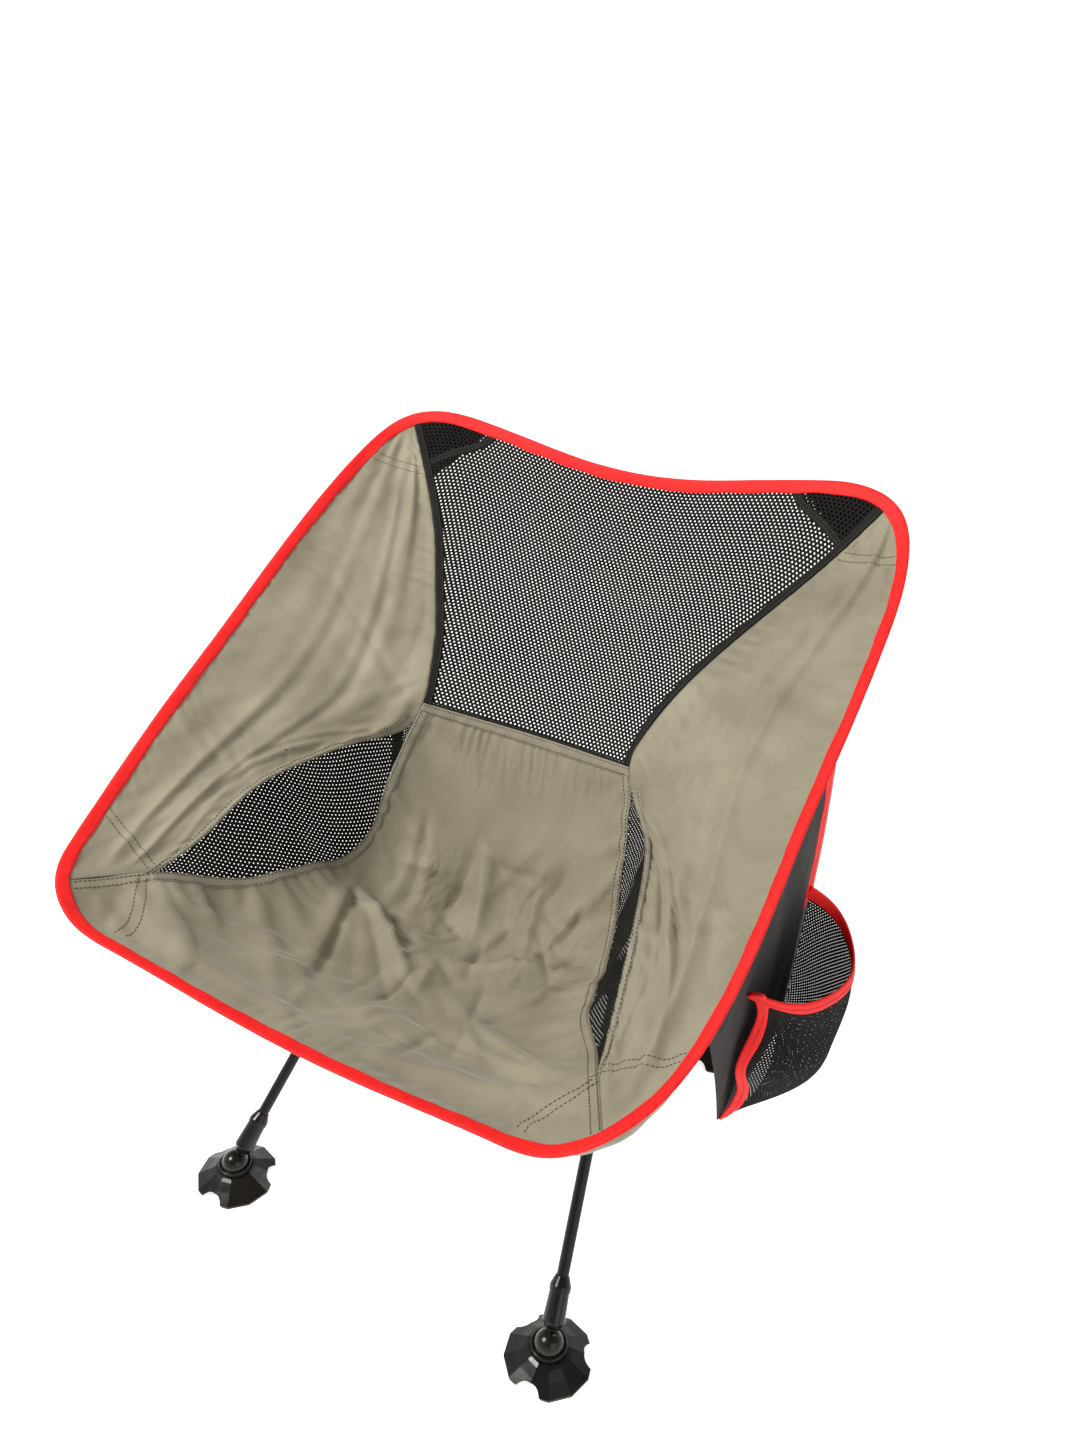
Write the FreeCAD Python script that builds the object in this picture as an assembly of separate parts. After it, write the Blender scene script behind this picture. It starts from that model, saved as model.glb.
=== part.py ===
"""Ultralight backpacking chair: a shock-corded tube frame under a removable fabric sling.

Millimetres. +Z is up, -Y is the chair's front, +X is the sitter's left, where the bottle pocket
hangs. The origin is on the floor, on the chair's plane of symmetry, under the seat. Every curve
and point below is given for the +X side; the other side is its mirror image.
"""
import FreeCAD, Part
import math
import os

V = FreeCAD.Vector
os.makedirs("parts", exist_ok=True)

# ---------------------------------------------------------------- driving dimensions
TUBE_R = 5.2                 # pole and leg tubes, outside
TUBE_BORE_R = 4.4
CROSSBAR_R = 6.0
CROSSBAR_BORE_R = 5.0
CORD_R = 1.3                 # elastic shock cord
CORD_BEND_R = 8.0            # cord's bend inside a hub
CORD_HOLE_R = 1.9
KNOT_R = 3.0
WASHER_THICKNESS = 2.0
WASHER_SEAT = 8.0            # a cord's washer, from the tube's foot end
WASHER_HOLE_R = 1.4
RUNNING_GAP = 0.05           # radial clearance of a tube in its socket
TUBE_INSET = 0.3             # a tube's end, from the bottom of its socket

HUB = V(128, 28, 240)        # centre of the left hub
HUB_DRUM_R = 17.0
HUB_DRUM_HALF = 11.0
HUB_CHAMFER = 1.5
HUB_CAVITY_R = 11.5
HUB_CAVITY_DEPTH = 5.0       # the cavity's floor, inward of the hub's centre
CAP_R = 13.7
CAP_GAP = 0.3                # round a cap, in its recess
CAP_THICKNESS = 2.4
CAP_FILLET = 1.2
CAP_SPIGOT = 4.0             # length of the spigot behind a cap
CAP_SPIGOT_GAP = 0.02
CAP_SPIGOT_WALL = 1.6
SOCKET_R = 8.6
SOCKET_ROOT = 4.0            # where a socket's outside starts, from the hub's centre
SOCKET_START = 15.0          # bottom of a socket, from the hub's centre
SOCKET_END = 46.0            # mouth of a socket
SOCKET_LIP = 5.0             # thicker ring at a socket's mouth
SOCKET_LIP_R = 10.0
WEB_THICKNESS = 4.0
WEB_REACH = 34.0
CROSSBAR_SEAT = 16.0         # the crossbar's end, from the hub's centre
CROSSBAR_SOCKET_R = 8.8
CROSSBAR_SOCKET_ROOT = 8.0
CROSSBAR_SOCKET_END = 42.0
CROSSBAR_LIP = 6.0
CROSSBAR_LIP_R = 10.0
RIVET_R = 1.6
RIVET_HEAD_R = 3.4
RIVET_HEAD = 1.8             # height of a rivet's round head
RIVET_REACH = 28.0           # a rivet's axis, from the hub's centre
PAST = 2.0                   # how far a cutting tool runs past the face it leaves by

FRONT_BALL = V(175, -172, 19)    # centre of a front foot's ball
REAR_BALL = V(152, 226, 19)
SEAT_TIP = V(236, -229, 361)     # end of a seat pole's tip
BACK_TIP = V(239, 245, 623)      # end of a back pole's tip
TIP_LENGTH = 26.0
TIP_R = 6.4
TIP_COLLAR = 4.0
TIP_COLLAR_R = 7.3
TIP_CLOSED = 12.0            # the solid end of a tip, beyond the tube
CORD_KEEP = 1.0              # a pole's cord stops this far inside the tube's end
BACK_SPLIT = 0.52            # where a back pole's two sections meet, as a share of its length
SPLIT_GAP = 0.1              # each section stops this far from the meeting plane
FERRULE_HALF = 28.0
FERRULE_WALL = 1.0

BALL_R = 12.8
NECK_R = 6.0
NECK_START = 8.0
NECK_END = 12.0              # where the boot starts to widen, from the ball's centre
BOOT_FOOT_R = 9.6            # the boot's sleeve: its foot, its head and the collar above
BOOT_HEAD_R = 8.5
COLLAR_R = 9.2
BOOT_START = 18.0
COLLAR_START = 42.0
COLLAR_CHAMFER = 46.0
BOOT_END = 54.0
BOOT_LIP_R = 6.1
TUBE_END = 24.0              # a leg tube's lower end, from the ball's centre
PAD_R = 38.0
PAD_FACETS = 12
PAD_TOP_Z = 15.0
PAD_TOP_R = 16.8
PAD_OUTSIDE = [(PAD_R, 0.0), (PAD_R, 2.4), (27.5, 8.6), (20.0, 13.4), (PAD_TOP_R, PAD_TOP_Z)]
PAD_INSIDE = [(35.0, -1.0), (34.4, 0.6), (18.5, 9.6)]    # radius and height, as above
PAD_FLOOR_Z = 1.0            # underside of the middle that carries the ball
PAD_BALL_GAP = 0.4
RING_R = 15.6
RING_WALL = 2.0              # the cup ring's flange beyond its spigot
RING_DEPTH = 6.0             # the ring's foot, below the ball's centre
RING_TOP = 1.5               # the ring's top, above the ball's centre
RING_GAP = 0.1               # below the ring, in its recess, and below its flange
RING_FILLET = 1.0
NOTCH_R = 15.0               # arch notches in a pad's rim, three of them
NOTCH_HEIGHT = 7.0
NOTCH_START = 18.8           # where a notch begins, from the pad's axis
NOTCH_TURN = -90.0           # the first notch's direction, degrees from +X

CLOTH = 1.6                  # thickness of a fabric panel's solid
TAPE = 1.0                   # thickness of a hem or seam tape
TRIM_LIFT = 1.8              # from a panel's middle to the middle of a tape sewn on it
PATCH_LIFT = 2.6             # from the mesh's middle to the middle of a corner patch
BINDING_WIDTH = 9.0
BINDING_THICKNESS = 3.0
RIM_THICKNESS = 1.6
SEAM_GAP = 1.3               # a panel stops this far from its seam line
PANEL_END = 9.9              # a bound panel stops this far from its edge line
HEM_WIDTH = 9.0
SEAT_SAG = 7.0
BACK_BELLY = 9.0
SIDE_TIP = 0.955             # the side panel's sewn tip, as a share of its length
GUSSET_SHARE = 0.45          # the part of the side panel's inner edge that is the gusset's top
PATCH_START = 0.81           # where a corner patch begins, as a share of the back mesh's height
PATCH_REACH = 0.19           # and how far it reaches in from the corner, as a share of the width

# ---------------------------------------------------------------- the sling's lines, +X side
FRONT_CORNER = V(244, -243, 377)
BACK_CORNER = V(242, 246, 641)
SIDE_EDGE = [FRONT_CORNER, V(264, -207, 388), V(275, -160, 406), V(280, -88, 446), V(279, -16, 488),
             V(280, 56, 529), V(279, 130, 571), V(272, 195, 608), BACK_CORNER]
FRONT_EDGE = [V(0, -253, 332), V(90, -254, 338), V(171, -257, 349), V(211, -258, 359), FRONT_CORNER]
TOP_EDGE = [V(0, 268, 617), V(60, 268, 621), V(110, 267, 630), V(165, 266, 640), V(212, 258, 646),
            BACK_CORNER]
CORNER_SEAM = [FRONT_CORNER, V(226, -211, 367), V(207, -177, 358)]
GUSSET_TOP = [V(207, -177, 358), V(194, -128, 373), V(182, -83, 396), V(163, -26, 404),
              V(142, 20, 406), V(113, 56, 416)]
GUSSET_BOTTOM = [V(207, -177, 357), V(186, -138, 335), V(164, -104, 324), V(150, -62, 315),
                 V(138, -20, 305), V(130, 8, 320), V(124, 24, 355), V(113, 55, 414)]
SEAT_CORNER = V(105, 64, 437)
MESH_SIDE = [SEAT_CORNER, V(110, 84, 463), V(121, 108, 486), V(141, 138, 515), V(171, 181, 550),
             V(202, 214, 586), BACK_CORNER]
SEAT_BACK = [V(0, 82, 427), V(60, 76, 430), SEAT_CORNER]

# ---------------------------------------------------------------- the bottle pocket's lines
POCKET_HANG = [V(274, -158, 402), V(276, -88, 436), V(275, -20, 476), V(277, 44, 512)]
POCKET_FRONT = [V(274, -158, 402), V(268, -112, 318), V(262, -76, 243)]
POCKET_REAR = [V(277, 44, 512), V(276, 50, 430), V(272, 50, 330), V(268, 46, 241)]
POCKET_FOOT = [V(262, -76, 243), V(265, -15, 236), V(268, 46, 241)]
POUCH_FRONT = [V(277, -86, 388), V(277, -74, 350), V(275, -86, 310), V(271, -78, 275),
               V(265, -75, 244)]
POUCH_REAR = [V(279, 49, 396), V(277, 51, 330), V(271, 46, 242)]
POUCH_RIM = [V(277, -86, 388), V(303, -66, 374), V(321, -25, 362), V(322, 20, 358),
             V(303, 46, 374), V(279, 49, 396)]
POUCH_FOOT = [V(265, -75, 244), V(276, -15, 236), V(271, 46, 242)]
POUCH_BULGE = 45.0


# ---------------------------------------------------------------- small helpers
def mirrored(points):
    return [V(-p.x, p.y, p.z) for p in points]


def unit(vector):
    return V(vector).normalize()


def curve(points):
    """A smooth line through the points, as a function of the share of its length."""
    line = Part.BSplineCurve()
    line.interpolate(points)
    edge = line.toShape()

    def at(share):
        share = min(max(share, 0.0), 1.0)
        return edge.valueAt(edge.getParameterByLength(edge.Length * share))
    return at


def whole_width(points):
    """The full left-to-right line of a half line that starts on the plane of symmetry."""
    return curve(mirrored(points)[:0:-1] + points)


def joined(first, second):
    """One list of points from two lists that share a point."""
    return first + second[1:]


def coons(start, end, near, far, belly=V(0, 0, 0)):
    """The surface between two lines along u (start, end) and two along v (near, far)."""
    def at(u, v):
        along = start(u) * (1 - v) + end(u) * v
        across = near(v) * (1 - u) + far(v) * u
        corners = (start(0) * ((1 - u) * (1 - v)) + start(1) * (u * (1 - v))
                   + end(0) * ((1 - u) * v) + end(1) * (u * v))
        return along + across - corners + belly * (16 * u * (1 - u) * v * (1 - v))
    return at


def normal_at(surface, u, v, step=0.004):
    low_u, high_u = max(u - step, 0), min(u + step, 1)
    low_v, high_v = max(v - step, 0), min(v + step, 1)
    along = surface(high_u, v) - surface(low_u, v)
    across = surface(u, high_v) - surface(u, low_v)
    return along.cross(across).normalize()


def sheet(surface, us, vs, thickness, lift=0.0):
    """A sheet solid on a surface function, at the given u and v values, lifted along its normal.

    us is a list, and vs is a list for each u, so that an edge can be trimmed to a width.
    """
    def side(height):
        face = Part.BSplineSurface()
        face.interpolate([[surface(u, v) + normal_at(surface, u, v) * height for v in row]
                          for u, row in zip(us, vs)])
        return face

    upper, lower = side(lift + thickness / 2), side(lift - thickness / 2)
    faces = [upper.toShape(), lower.toShape()]
    u0, u1, v0, v1 = upper.bounds()
    p0, p1, q0, q1 = lower.bounds()
    borders = [(upper.uIso(u0), lower.uIso(p0)), (upper.uIso(u1), lower.uIso(p1)),
               (upper.vIso(v0), lower.vIso(q0)), (upper.vIso(v1), lower.vIso(q1))]
    for a, b in borders:
        faces += Part.makeLoft([Part.Wire(a.toShape()), Part.Wire(b.toShape())], False, True).Faces
    shell = Part.makeShell(faces)
    shell.sewShape()
    solid = Part.makeSolid(shell)
    if solid.Volume < 0:
        solid.reverse()
    return solid


def spread(low, high, count):
    return [low + (high - low) * i / (count - 1) for i in range(count)]


def trims(surface, us, low_mm, high_mm, count):
    """For each u, the v values from low_mm inside one edge to high_mm inside the other."""
    rows = []
    for u in us:
        width = (surface(u, 1) - surface(u, 0)).Length
        rows.append(spread(low_mm / width, 1 - high_mm / width, count))
    return rows


def edge_strip(surface, us, inner_mm, outer_mm, at_end):
    """For each u, the v values of a band between two distances from one edge."""
    rows = []
    for u in us:
        width = (surface(u, 1) - surface(u, 0)).Length
        across = spread(inner_mm / width, outer_mm / width, 4)
        rows.append([1 - share for share in across] if at_end else across)
    return rows


def rod(start, end, radius):
    return Part.makeCylinder(radius, (end - start).Length, start, end - start)


def tube(start, end, radius, bore):
    return rod(start, end, radius).cut(rod(start, end, bore))


def mirror_x(shape):
    return shape.mirror(V(0, 0, 0), V(1, 0, 0))


def write(name, shape):
    """One sub-part: checked for closed, valid solids, then written."""
    for solid in shape.Solids:
        if not solid.isValid() or not solid.isClosed():
            print("WARNING", name, "has a bad solid")
    print(f"{name:26s} solids {len(shape.Solids):2d} volume {shape.Volume:10.1f}")
    shape.exportStep(f"parts/{name}.step")


def write_pair(name, shape):
    write(f"{name}_left", shape)
    write(f"{name}_right", mirror_x(shape))


# ---------------------------------------------------------------- the frame
FRONT_LEG = unit(FRONT_BALL - HUB)
REAR_LEG = unit(REAR_BALL - HUB)
SEAT_POLE = unit(SEAT_TIP - HUB)
BACK_POLE = unit(BACK_TIP - HUB)
SOCKETS = (FRONT_LEG, REAR_LEG, SEAT_POLE, BACK_POLE)
WEBS = ((FRONT_LEG, REAR_LEG), (FRONT_LEG, SEAT_POLE), (SEAT_POLE, BACK_POLE),
        (REAR_LEG, BACK_POLE))
INWARD = V(-1, 0, 0)
LENGTHS = {"front": (FRONT_BALL - HUB).Length, "rear": (REAR_BALL - HUB).Length,
           "seat": (SEAT_TIP - HUB).Length, "back": (BACK_TIP - HUB).Length}
TUBE_START = SOCKET_START + TUBE_INSET
LEG_CORD_STOP = TUBE_END + WASHER_SEAT + 0.2    # the leg cord's end, from the ball's centre
POLE_CORD_STOP = TIP_CLOSED + CORD_KEEP


def along(direction, distance):
    """The point on an axis through the hub's centre."""
    return HUB + direction * distance


def web(first, second):
    """A flat plate in the corner between two sockets."""
    normal = first.cross(second).normalize()
    corners = [HUB, along(first, WEB_REACH), along(second, WEB_REACH), HUB]
    plate = Part.Face(Part.makePolygon(corners)).extrude(normal * WEB_THICKNESS)
    plate.translate(normal * (-WEB_THICKNESS / 2))
    return plate


def socket(direction):
    body = rod(along(direction, SOCKET_ROOT), along(direction, SOCKET_END), SOCKET_R)
    lip = rod(along(direction, SOCKET_END - SOCKET_LIP), along(direction, SOCKET_END), SOCKET_LIP_R)
    return body.fuse(lip)


def crossbar_socket():
    mouth = along(INWARD, CROSSBAR_SOCKET_END)
    body = rod(along(INWARD, CROSSBAR_SOCKET_ROOT), mouth, CROSSBAR_SOCKET_R)
    return body.fuse(rod(mouth - INWARD * CROSSBAR_LIP, mouth, CROSSBAR_LIP_R))


def hub_bores():
    """What is taken out of a hub: tube bores, cord holes, cord cavity, cap recess, rivet hole."""
    outer_face = along(INWARD, -HUB_DRUM_HALF)
    bores = [rod(along(INWARD, HUB_CAVITY_DEPTH), outer_face, HUB_CAVITY_R),
             rod(outer_face, outer_face - INWARD * (CAP_THICKNESS + PAST), CAP_R + CAP_GAP),
             rod(along(INWARD, CROSSBAR_SEAT), along(INWARD, CROSSBAR_SOCKET_END + PAST), CROSSBAR_R),
             rivet_shank(0.0)]
    for direction in SOCKETS:
        bores.append(rod(along(direction, SOCKET_START), along(direction, SOCKET_END + PAST),
                         TUBE_R + RUNNING_GAP))
        bores.append(rod(HUB, along(direction, SOCKET_END), CORD_HOLE_R))
    return bores


def hub():
    """A moulded hub: a drum with four sockets, a crossbar socket, webs and a cord cavity."""
    drum = Part.makeCylinder(HUB_DRUM_R, 2 * HUB_DRUM_HALF, along(INWARD, HUB_DRUM_HALF), V(1, 0, 0))
    solid = drum.makeChamfer(HUB_CHAMFER, [e for e in drum.Edges if e.Closed])
    for direction in SOCKETS:
        solid = solid.fuse(socket(direction))
    solid = solid.fuse(crossbar_socket())
    for first, second in WEBS:
        solid = solid.fuse(web(first, second))
    for bore in hub_bores():
        solid = solid.cut(bore)
    return solid.removeSplitter()


def rivet_shank(extra):
    reach = V(0, 0, CROSSBAR_SOCKET_R + extra)
    centre = along(INWARD, RIVET_REACH)
    return rod(centre - reach, centre + reach, RIVET_R)


def rivet():
    """A round-headed rivet, straight down through a hub and the crossbar's end."""
    shape = rivet_shank(0.0)
    centre = along(INWARD, RIVET_REACH)
    for up in (V(0, 0, 1), V(0, 0, -1)):
        seat = centre + up * CROSSBAR_SOCKET_R
        ball = Part.makeSphere(RIVET_HEAD_R, seat - up * (RIVET_HEAD_R - RIVET_HEAD))
        shape = shape.fuse(ball.common(rod(seat, seat + up * RIVET_HEAD_R, RIVET_HEAD_R)))
    return shape


def hub_cap():
    """A snap cap over the hub's cord cavity, on the outer side."""
    face = along(INWARD, -HUB_DRUM_HALF)
    disc = rod(face, face - INWARD * CAP_THICKNESS, CAP_R)
    rim = [e for e in disc.Edges if e.Closed and e.CenterOfMass.x > face.x + CAP_THICKNESS / 2]
    spigot_r = HUB_CAVITY_R - CAP_SPIGOT_GAP
    spigot = tube(face + INWARD * CAP_SPIGOT, face, spigot_r, spigot_r - CAP_SPIGOT_WALL)
    return disc.makeFillet(CAP_FILLET, rim).fuse(spigot).removeSplitter()


def crossbar():
    end = along(INWARD, CROSSBAR_SEAT)
    bar = tube(end, V(-end.x, end.y, end.z), CROSSBAR_R, CROSSBAR_BORE_R)
    return bar.cut(rivet_shank(PAST)).cut(mirror_x(rivet_shank(PAST)))


def pole(direction, start, end):
    return tube(along(direction, start), along(direction, end), TUBE_R, TUBE_BORE_R)


def pole_tip(direction, length):
    """A rounded plastic tip: a sleeve over the tube's end and a closed, domed end."""
    start = along(direction, length - TIP_LENGTH)
    dome_base = along(direction, length - TIP_R)
    body = rod(start, dome_base, TIP_R).fuse(Part.makeSphere(TIP_R, dome_base))
    collar = rod(start, start + direction * TIP_COLLAR, TIP_COLLAR_R)
    pocket = rod(start, along(direction, length - TIP_CLOSED), TUBE_R)
    return body.fuse(collar).cut(pocket).removeSplitter()


def ferrule():
    """The metal sleeve inside a back pole, where its two sections meet."""
    split = LENGTHS["back"] * BACK_SPLIT
    return tube(along(BACK_POLE, split - FERRULE_HALF), along(BACK_POLE, split + FERRULE_HALF),
                TUBE_BORE_R, TUBE_BORE_R - FERRULE_WALL)


def cord(first, first_reach, second, second_reach):
    """One elastic cord from a pole or leg, round a bend in the hub, into another."""
    half = math.acos(first.dot(second)) / 2
    tangent = CORD_BEND_R / math.tan(half)
    mid = along(unit(first + second), CORD_BEND_R / math.sin(half) - CORD_BEND_R)
    start, end = along(first, tangent), along(second, tangent)
    first_end = along(first, first_reach)
    path = Part.Wire([Part.LineSegment(first_end, start).toShape(),
                      Part.Arc(start, mid, end).toShape(),
                      Part.LineSegment(end, along(second, second_reach)).toShape()])
    print(f"  cord length {path.Length:.0f}")
    section = Part.Wire(Part.Circle(first_end, first, CORD_R).toShape())
    return path.makePipeShell([section], True, False)


# ---------------------------------------------------------------- legs and feet
def leg_tube(direction, ball):
    return tube(along(direction, TUBE_START), ball - direction * TUBE_END, TUBE_R, TUBE_BORE_R)


def cone(start, end, first_radius, second_radius):
    return Part.makeCone(first_radius, second_radius, (end - start).Length, start, end - start)


def boot(direction, ball):
    """A moulded boot on a leg's end: collar, tapered sleeve, neck and ball."""
    up = direction * -1

    def at(distance):
        return ball + up * distance

    shape = Part.makeSphere(BALL_R, ball).fuse([
        rod(at(NECK_START), at(NECK_END), NECK_R),
        cone(at(NECK_END), at(BOOT_START), NECK_R, BOOT_FOOT_R),
        cone(at(BOOT_START), at(COLLAR_START), BOOT_FOOT_R, BOOT_HEAD_R),
        rod(at(COLLAR_START), at(COLLAR_CHAMFER), COLLAR_R),
        cone(at(COLLAR_CHAMFER), at(BOOT_END), COLLAR_R, BOOT_LIP_R)])
    return shape.cut(rod(at(TUBE_END), at(BOOT_END + PAST), TUBE_R)).removeSplitter()


def cord_anchor(direction, ball):
    """The knotted end of a leg's cord, under a washer inside the tube's foot end."""
    seat = ball - direction * (TUBE_END + WASHER_SEAT)
    washer = tube(seat, seat - direction * WASHER_THICKNESS, TUBE_BORE_R, WASHER_HOLE_R)
    knot = Part.makeSphere(KNOT_R, seat + direction * (KNOT_R + 0.1))
    return Part.makeCompound([washer, knot])


def facet_ring(base, radius, height):
    points = []
    for i in range(PAD_FACETS + 1):
        angle = 2 * math.pi * i / PAD_FACETS
        points.append(base + V(radius * math.cos(angle), radius * math.sin(angle), height))
    return Part.makePolygon(points)


def facet_body(base, profile):
    return Part.makeLoft([facet_ring(base, radius, height) for radius, height in profile], True, True)


def pad(ball):
    """A wide foot: a twelve-sided flared skirt with three arch notches, and a seat for the ball."""
    base = V(ball.x, ball.y, 0)
    ring_foot = ball - V(0, 0, RING_DEPTH + RING_GAP)
    outer = facet_body(base, PAD_OUTSIDE)
    middle = Part.makeCylinder(PAD_TOP_R, ring_foot.z - PAD_FLOOR_Z, base + V(0, 0, PAD_FLOOR_Z))
    skirt = outer.cut(facet_body(base, PAD_INSIDE)).fuse(middle.common(outer))
    for i in range(3):
        angle = math.radians(NOTCH_TURN + 120 * i)
        out = V(math.cos(angle), math.sin(angle), 0)
        foot = base + out * NOTCH_START + V(0, 0, NOTCH_HEIGHT - NOTCH_R)
        skirt = skirt.cut(Part.makeCylinder(NOTCH_R, PAD_R, foot, out))
    recess = Part.makeCylinder(RING_R - RING_WALL, PAD_R, ring_foot)
    return skirt.cut(recess).cut(Part.makeSphere(BALL_R + PAD_BALL_GAP, ball)).removeSplitter()


def cup_ring(ball):
    """The ring that clasps the ball and turns in the pad's top."""
    foot = V(ball.x, ball.y, ball.z - RING_DEPTH)
    shoulder = V(ball.x, ball.y, PAD_TOP_Z + RING_GAP)
    top = ball + V(0, 0, RING_TOP)
    spigot = rod(foot, shoulder + V(0, 0, RING_FILLET), RING_R - RING_WALL - RUNNING_GAP)
    flange = rod(shoulder, top, RING_R)
    rim = [e for e in flange.Edges if e.Closed and e.CenterOfMass.z > ball.z]
    ring = spigot.fuse(flange.makeFillet(RING_FILLET, rim))
    return ring.cut(Part.makeSphere(BALL_R + RUNNING_GAP, ball)).removeSplitter()


# ---------------------------------------------------------------- the sling's surfaces
def fixed(point):
    return lambda share: point


def turned(surface):
    """The same surface with u and v exchanged."""
    return lambda u, v: surface(v, u)


def softened(line, reach=0.16, samples=9):
    """The line averaged over a stretch to each side, which narrows to nothing at its ends."""
    def at(share):
        span = min(reach, share, 1 - share)
        total = V(0, 0, 0)
        for i in range(samples):
            total += line(share + span * (2 * i / (samples - 1) - 1))
        return total / samples
    return at


def ruled(inner, outer):
    """The surface between two lines, where the inner one's sharp turns die out on the way out."""
    soft = softened(inner)

    def at(u, v):
        turns = (inner(u) - soft(u)) * (1 - v) ** 3
        return soft(u) * (1 - v) + outer(u) * v + turns
    return at


SEAT_SIDE = joined(CORNER_SEAM, GUSSET_BOTTOM) + [SEAT_CORNER]
side_surface = ruled(curve(GUSSET_TOP + MESH_SIDE), curve(SIDE_EDGE))
gusset_surface = coons(curve(GUSSET_TOP), curve(GUSSET_BOTTOM),
                       fixed(GUSSET_TOP[0]), fixed(GUSSET_TOP[-1]))
seat_surface = coons(whole_width(FRONT_EDGE), whole_width(SEAT_BACK),
                     curve(mirrored(SEAT_SIDE)), curve(SEAT_SIDE), V(0, 0, -SEAT_SAG))
mesh_surface = coons(whole_width(SEAT_BACK), whole_width(TOP_EDGE),
                     curve(mirrored(MESH_SIDE)), curve(MESH_SIDE), V(0, BACK_BELLY, 0))


def side_panel():
    us = spread(0.004, SIDE_TIP, 26)
    return sheet(side_surface, us, trims(side_surface, us, SEAM_GAP, PANEL_END, 8), CLOTH)


def gusset():
    us = spread(0.05, 0.95, 16)
    return sheet(gusset_surface, us, trims(gusset_surface, us, SEAM_GAP, SEAM_GAP, 5), CLOTH)


def seat_panel():
    us = spread(0.007, 0.993, 15)
    return sheet(seat_surface, us, trims(seat_surface, us, PANEL_END, SEAM_GAP, 22), CLOTH)


def back_mesh():
    us = spread(0.006, 0.994, 15)
    return sheet(mesh_surface, us, trims(mesh_surface, us, SEAM_GAP, PANEL_END, 12), CLOTH)


def edge_binding():
    """The folded tape all round the sling, in four strips that meet at the corners."""
    us = spread(0.003, 0.982, 26)
    side = sheet(side_surface, us, edge_strip(side_surface, us, 0, BINDING_WIDTH, True),
                 BINDING_THICKNESS)
    us = spread(0.003, 0.997, 23)
    front = sheet(seat_surface, us, edge_strip(seat_surface, us, 0, BINDING_WIDTH, False),
                  BINDING_THICKNESS)
    us = spread(0.016, 0.984, 23)
    top = sheet(mesh_surface, us, edge_strip(mesh_surface, us, 0, BINDING_WIDTH, True),
                BINDING_THICKNESS)
    return Part.makeCompound([side, mirror_x(side), front, top])


def gusset_hems():
    """Stitched hems over the gusset's seams: one on the side panel, one on the seat."""
    us = spread(0.03, GUSSET_SHARE - 0.03, 16)
    upper = sheet(side_surface, us, edge_strip(side_surface, us, 2 * SEAM_GAP, HEM_WIDTH, False),
                  TAPE, -TRIM_LIFT)
    seat = turned(seat_surface)
    us = spread(0.17, 0.93, 22)
    lower = sheet(seat, us, edge_strip(seat, us, 2 * SEAM_GAP, HEM_WIDTH, True), TAPE, -TRIM_LIFT)
    return Part.makeCompound([upper, mirror_x(upper), lower, mirror_x(lower)])


def seat_back_hem():
    us = spread(0.06, 0.94, 13)
    return sheet(seat_surface, us, edge_strip(seat_surface, us, SEAM_GAP, HEM_WIDTH, True),
                 TAPE, TRIM_LIFT)


def mesh_seam_tape():
    """Black tape down both side seams of the back mesh, on the sitter's side."""
    mesh = turned(mesh_surface)
    us = spread(0.03, 0.9, 20)
    tape = sheet(mesh, us, edge_strip(mesh, us, 2 * SEAM_GAP, HEM_WIDTH, True), TAPE, -TRIM_LIFT)
    return Part.makeCompound([tape, mirror_x(tape)])


def mesh_corner_patch():
    """A second layer of mesh in each top corner of the back, behind the first."""
    us = spread(PATCH_START + 0.02, 0.985, 9)
    inner = [1 - PATCH_REACH * math.sqrt((u - PATCH_START) / (1 - PATCH_START)) for u in us]
    patch = sheet(mesh_surface, us, [spread(v, 0.95, 6) for v in inner], TAPE, -PATCH_LIFT)
    return Part.makeCompound([patch, mirror_x(patch)])


def corner_pocket(on_side, corner, on_end, mouth, arc_side, arc_end, bulge):
    """The sewn-on pocket that holds a pole's tip under a corner of the sling."""
    surface = coons(curve([on_side, (on_side + corner) * 0.5 + bulge * 0.1, corner]),
                    curve([mouth, arc_end, on_end]),
                    curve([on_side, arc_side, mouth]),
                    curve([corner, (corner + on_end) * 0.5 + bulge * 0.1, on_end]), bulge)
    us = spread(0.0, 1.0, 8)
    return sheet(surface, us, [spread(0.0, 1.0, 8) for _ in us], TAPE)


def front_corner_pocket():
    return corner_pocket(V(270, -168, 393), V(243, -238, 368), V(173, -251, 341), V(218, -189, 327),
                         V(248, -177, 367), V(197, -222, 330), V(6, -6, -15))


def back_corner_pocket():
    return corner_pocket(V(273, 195, 599), V(244, 254, 635), V(160, 275, 626), V(233, 240, 577),
                         V(258, 217, 590), V(197, 255, 601), V(7, 12, -9))


# ---------------------------------------------------------------- the bottle pocket
def pouch_profile(u, v):
    """How far the pouch's wall stands out below its rim, closing round at the foot."""
    return POUCH_BULGE * math.sin(math.pi * u) * v * (1 - v ** 4)


pouch_base = coons(curve(POUCH_RIM), curve(POUCH_FOOT), curve(POUCH_FRONT), curve(POUCH_REAR))


def pouch_surface(u, v):
    return pouch_base(u, v) + V(pouch_profile(u, v), 0, 0)


pocket_back_surface = coons(curve(POCKET_HANG), curve(POCKET_FOOT), curve(POCKET_FRONT),
                            curve(POCKET_REAR))


def pocket_back():
    us = spread(0.0, 1.0, 12)
    return sheet(pocket_back_surface, us, [spread(0.0, 1.0, 8) for _ in us], TAPE)


def pocket_mesh():
    us = spread(0.012, 0.988, 15)
    return sheet(pouch_surface, us, trims(pouch_surface, us, PANEL_END, 1.0, 10), TAPE)


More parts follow.
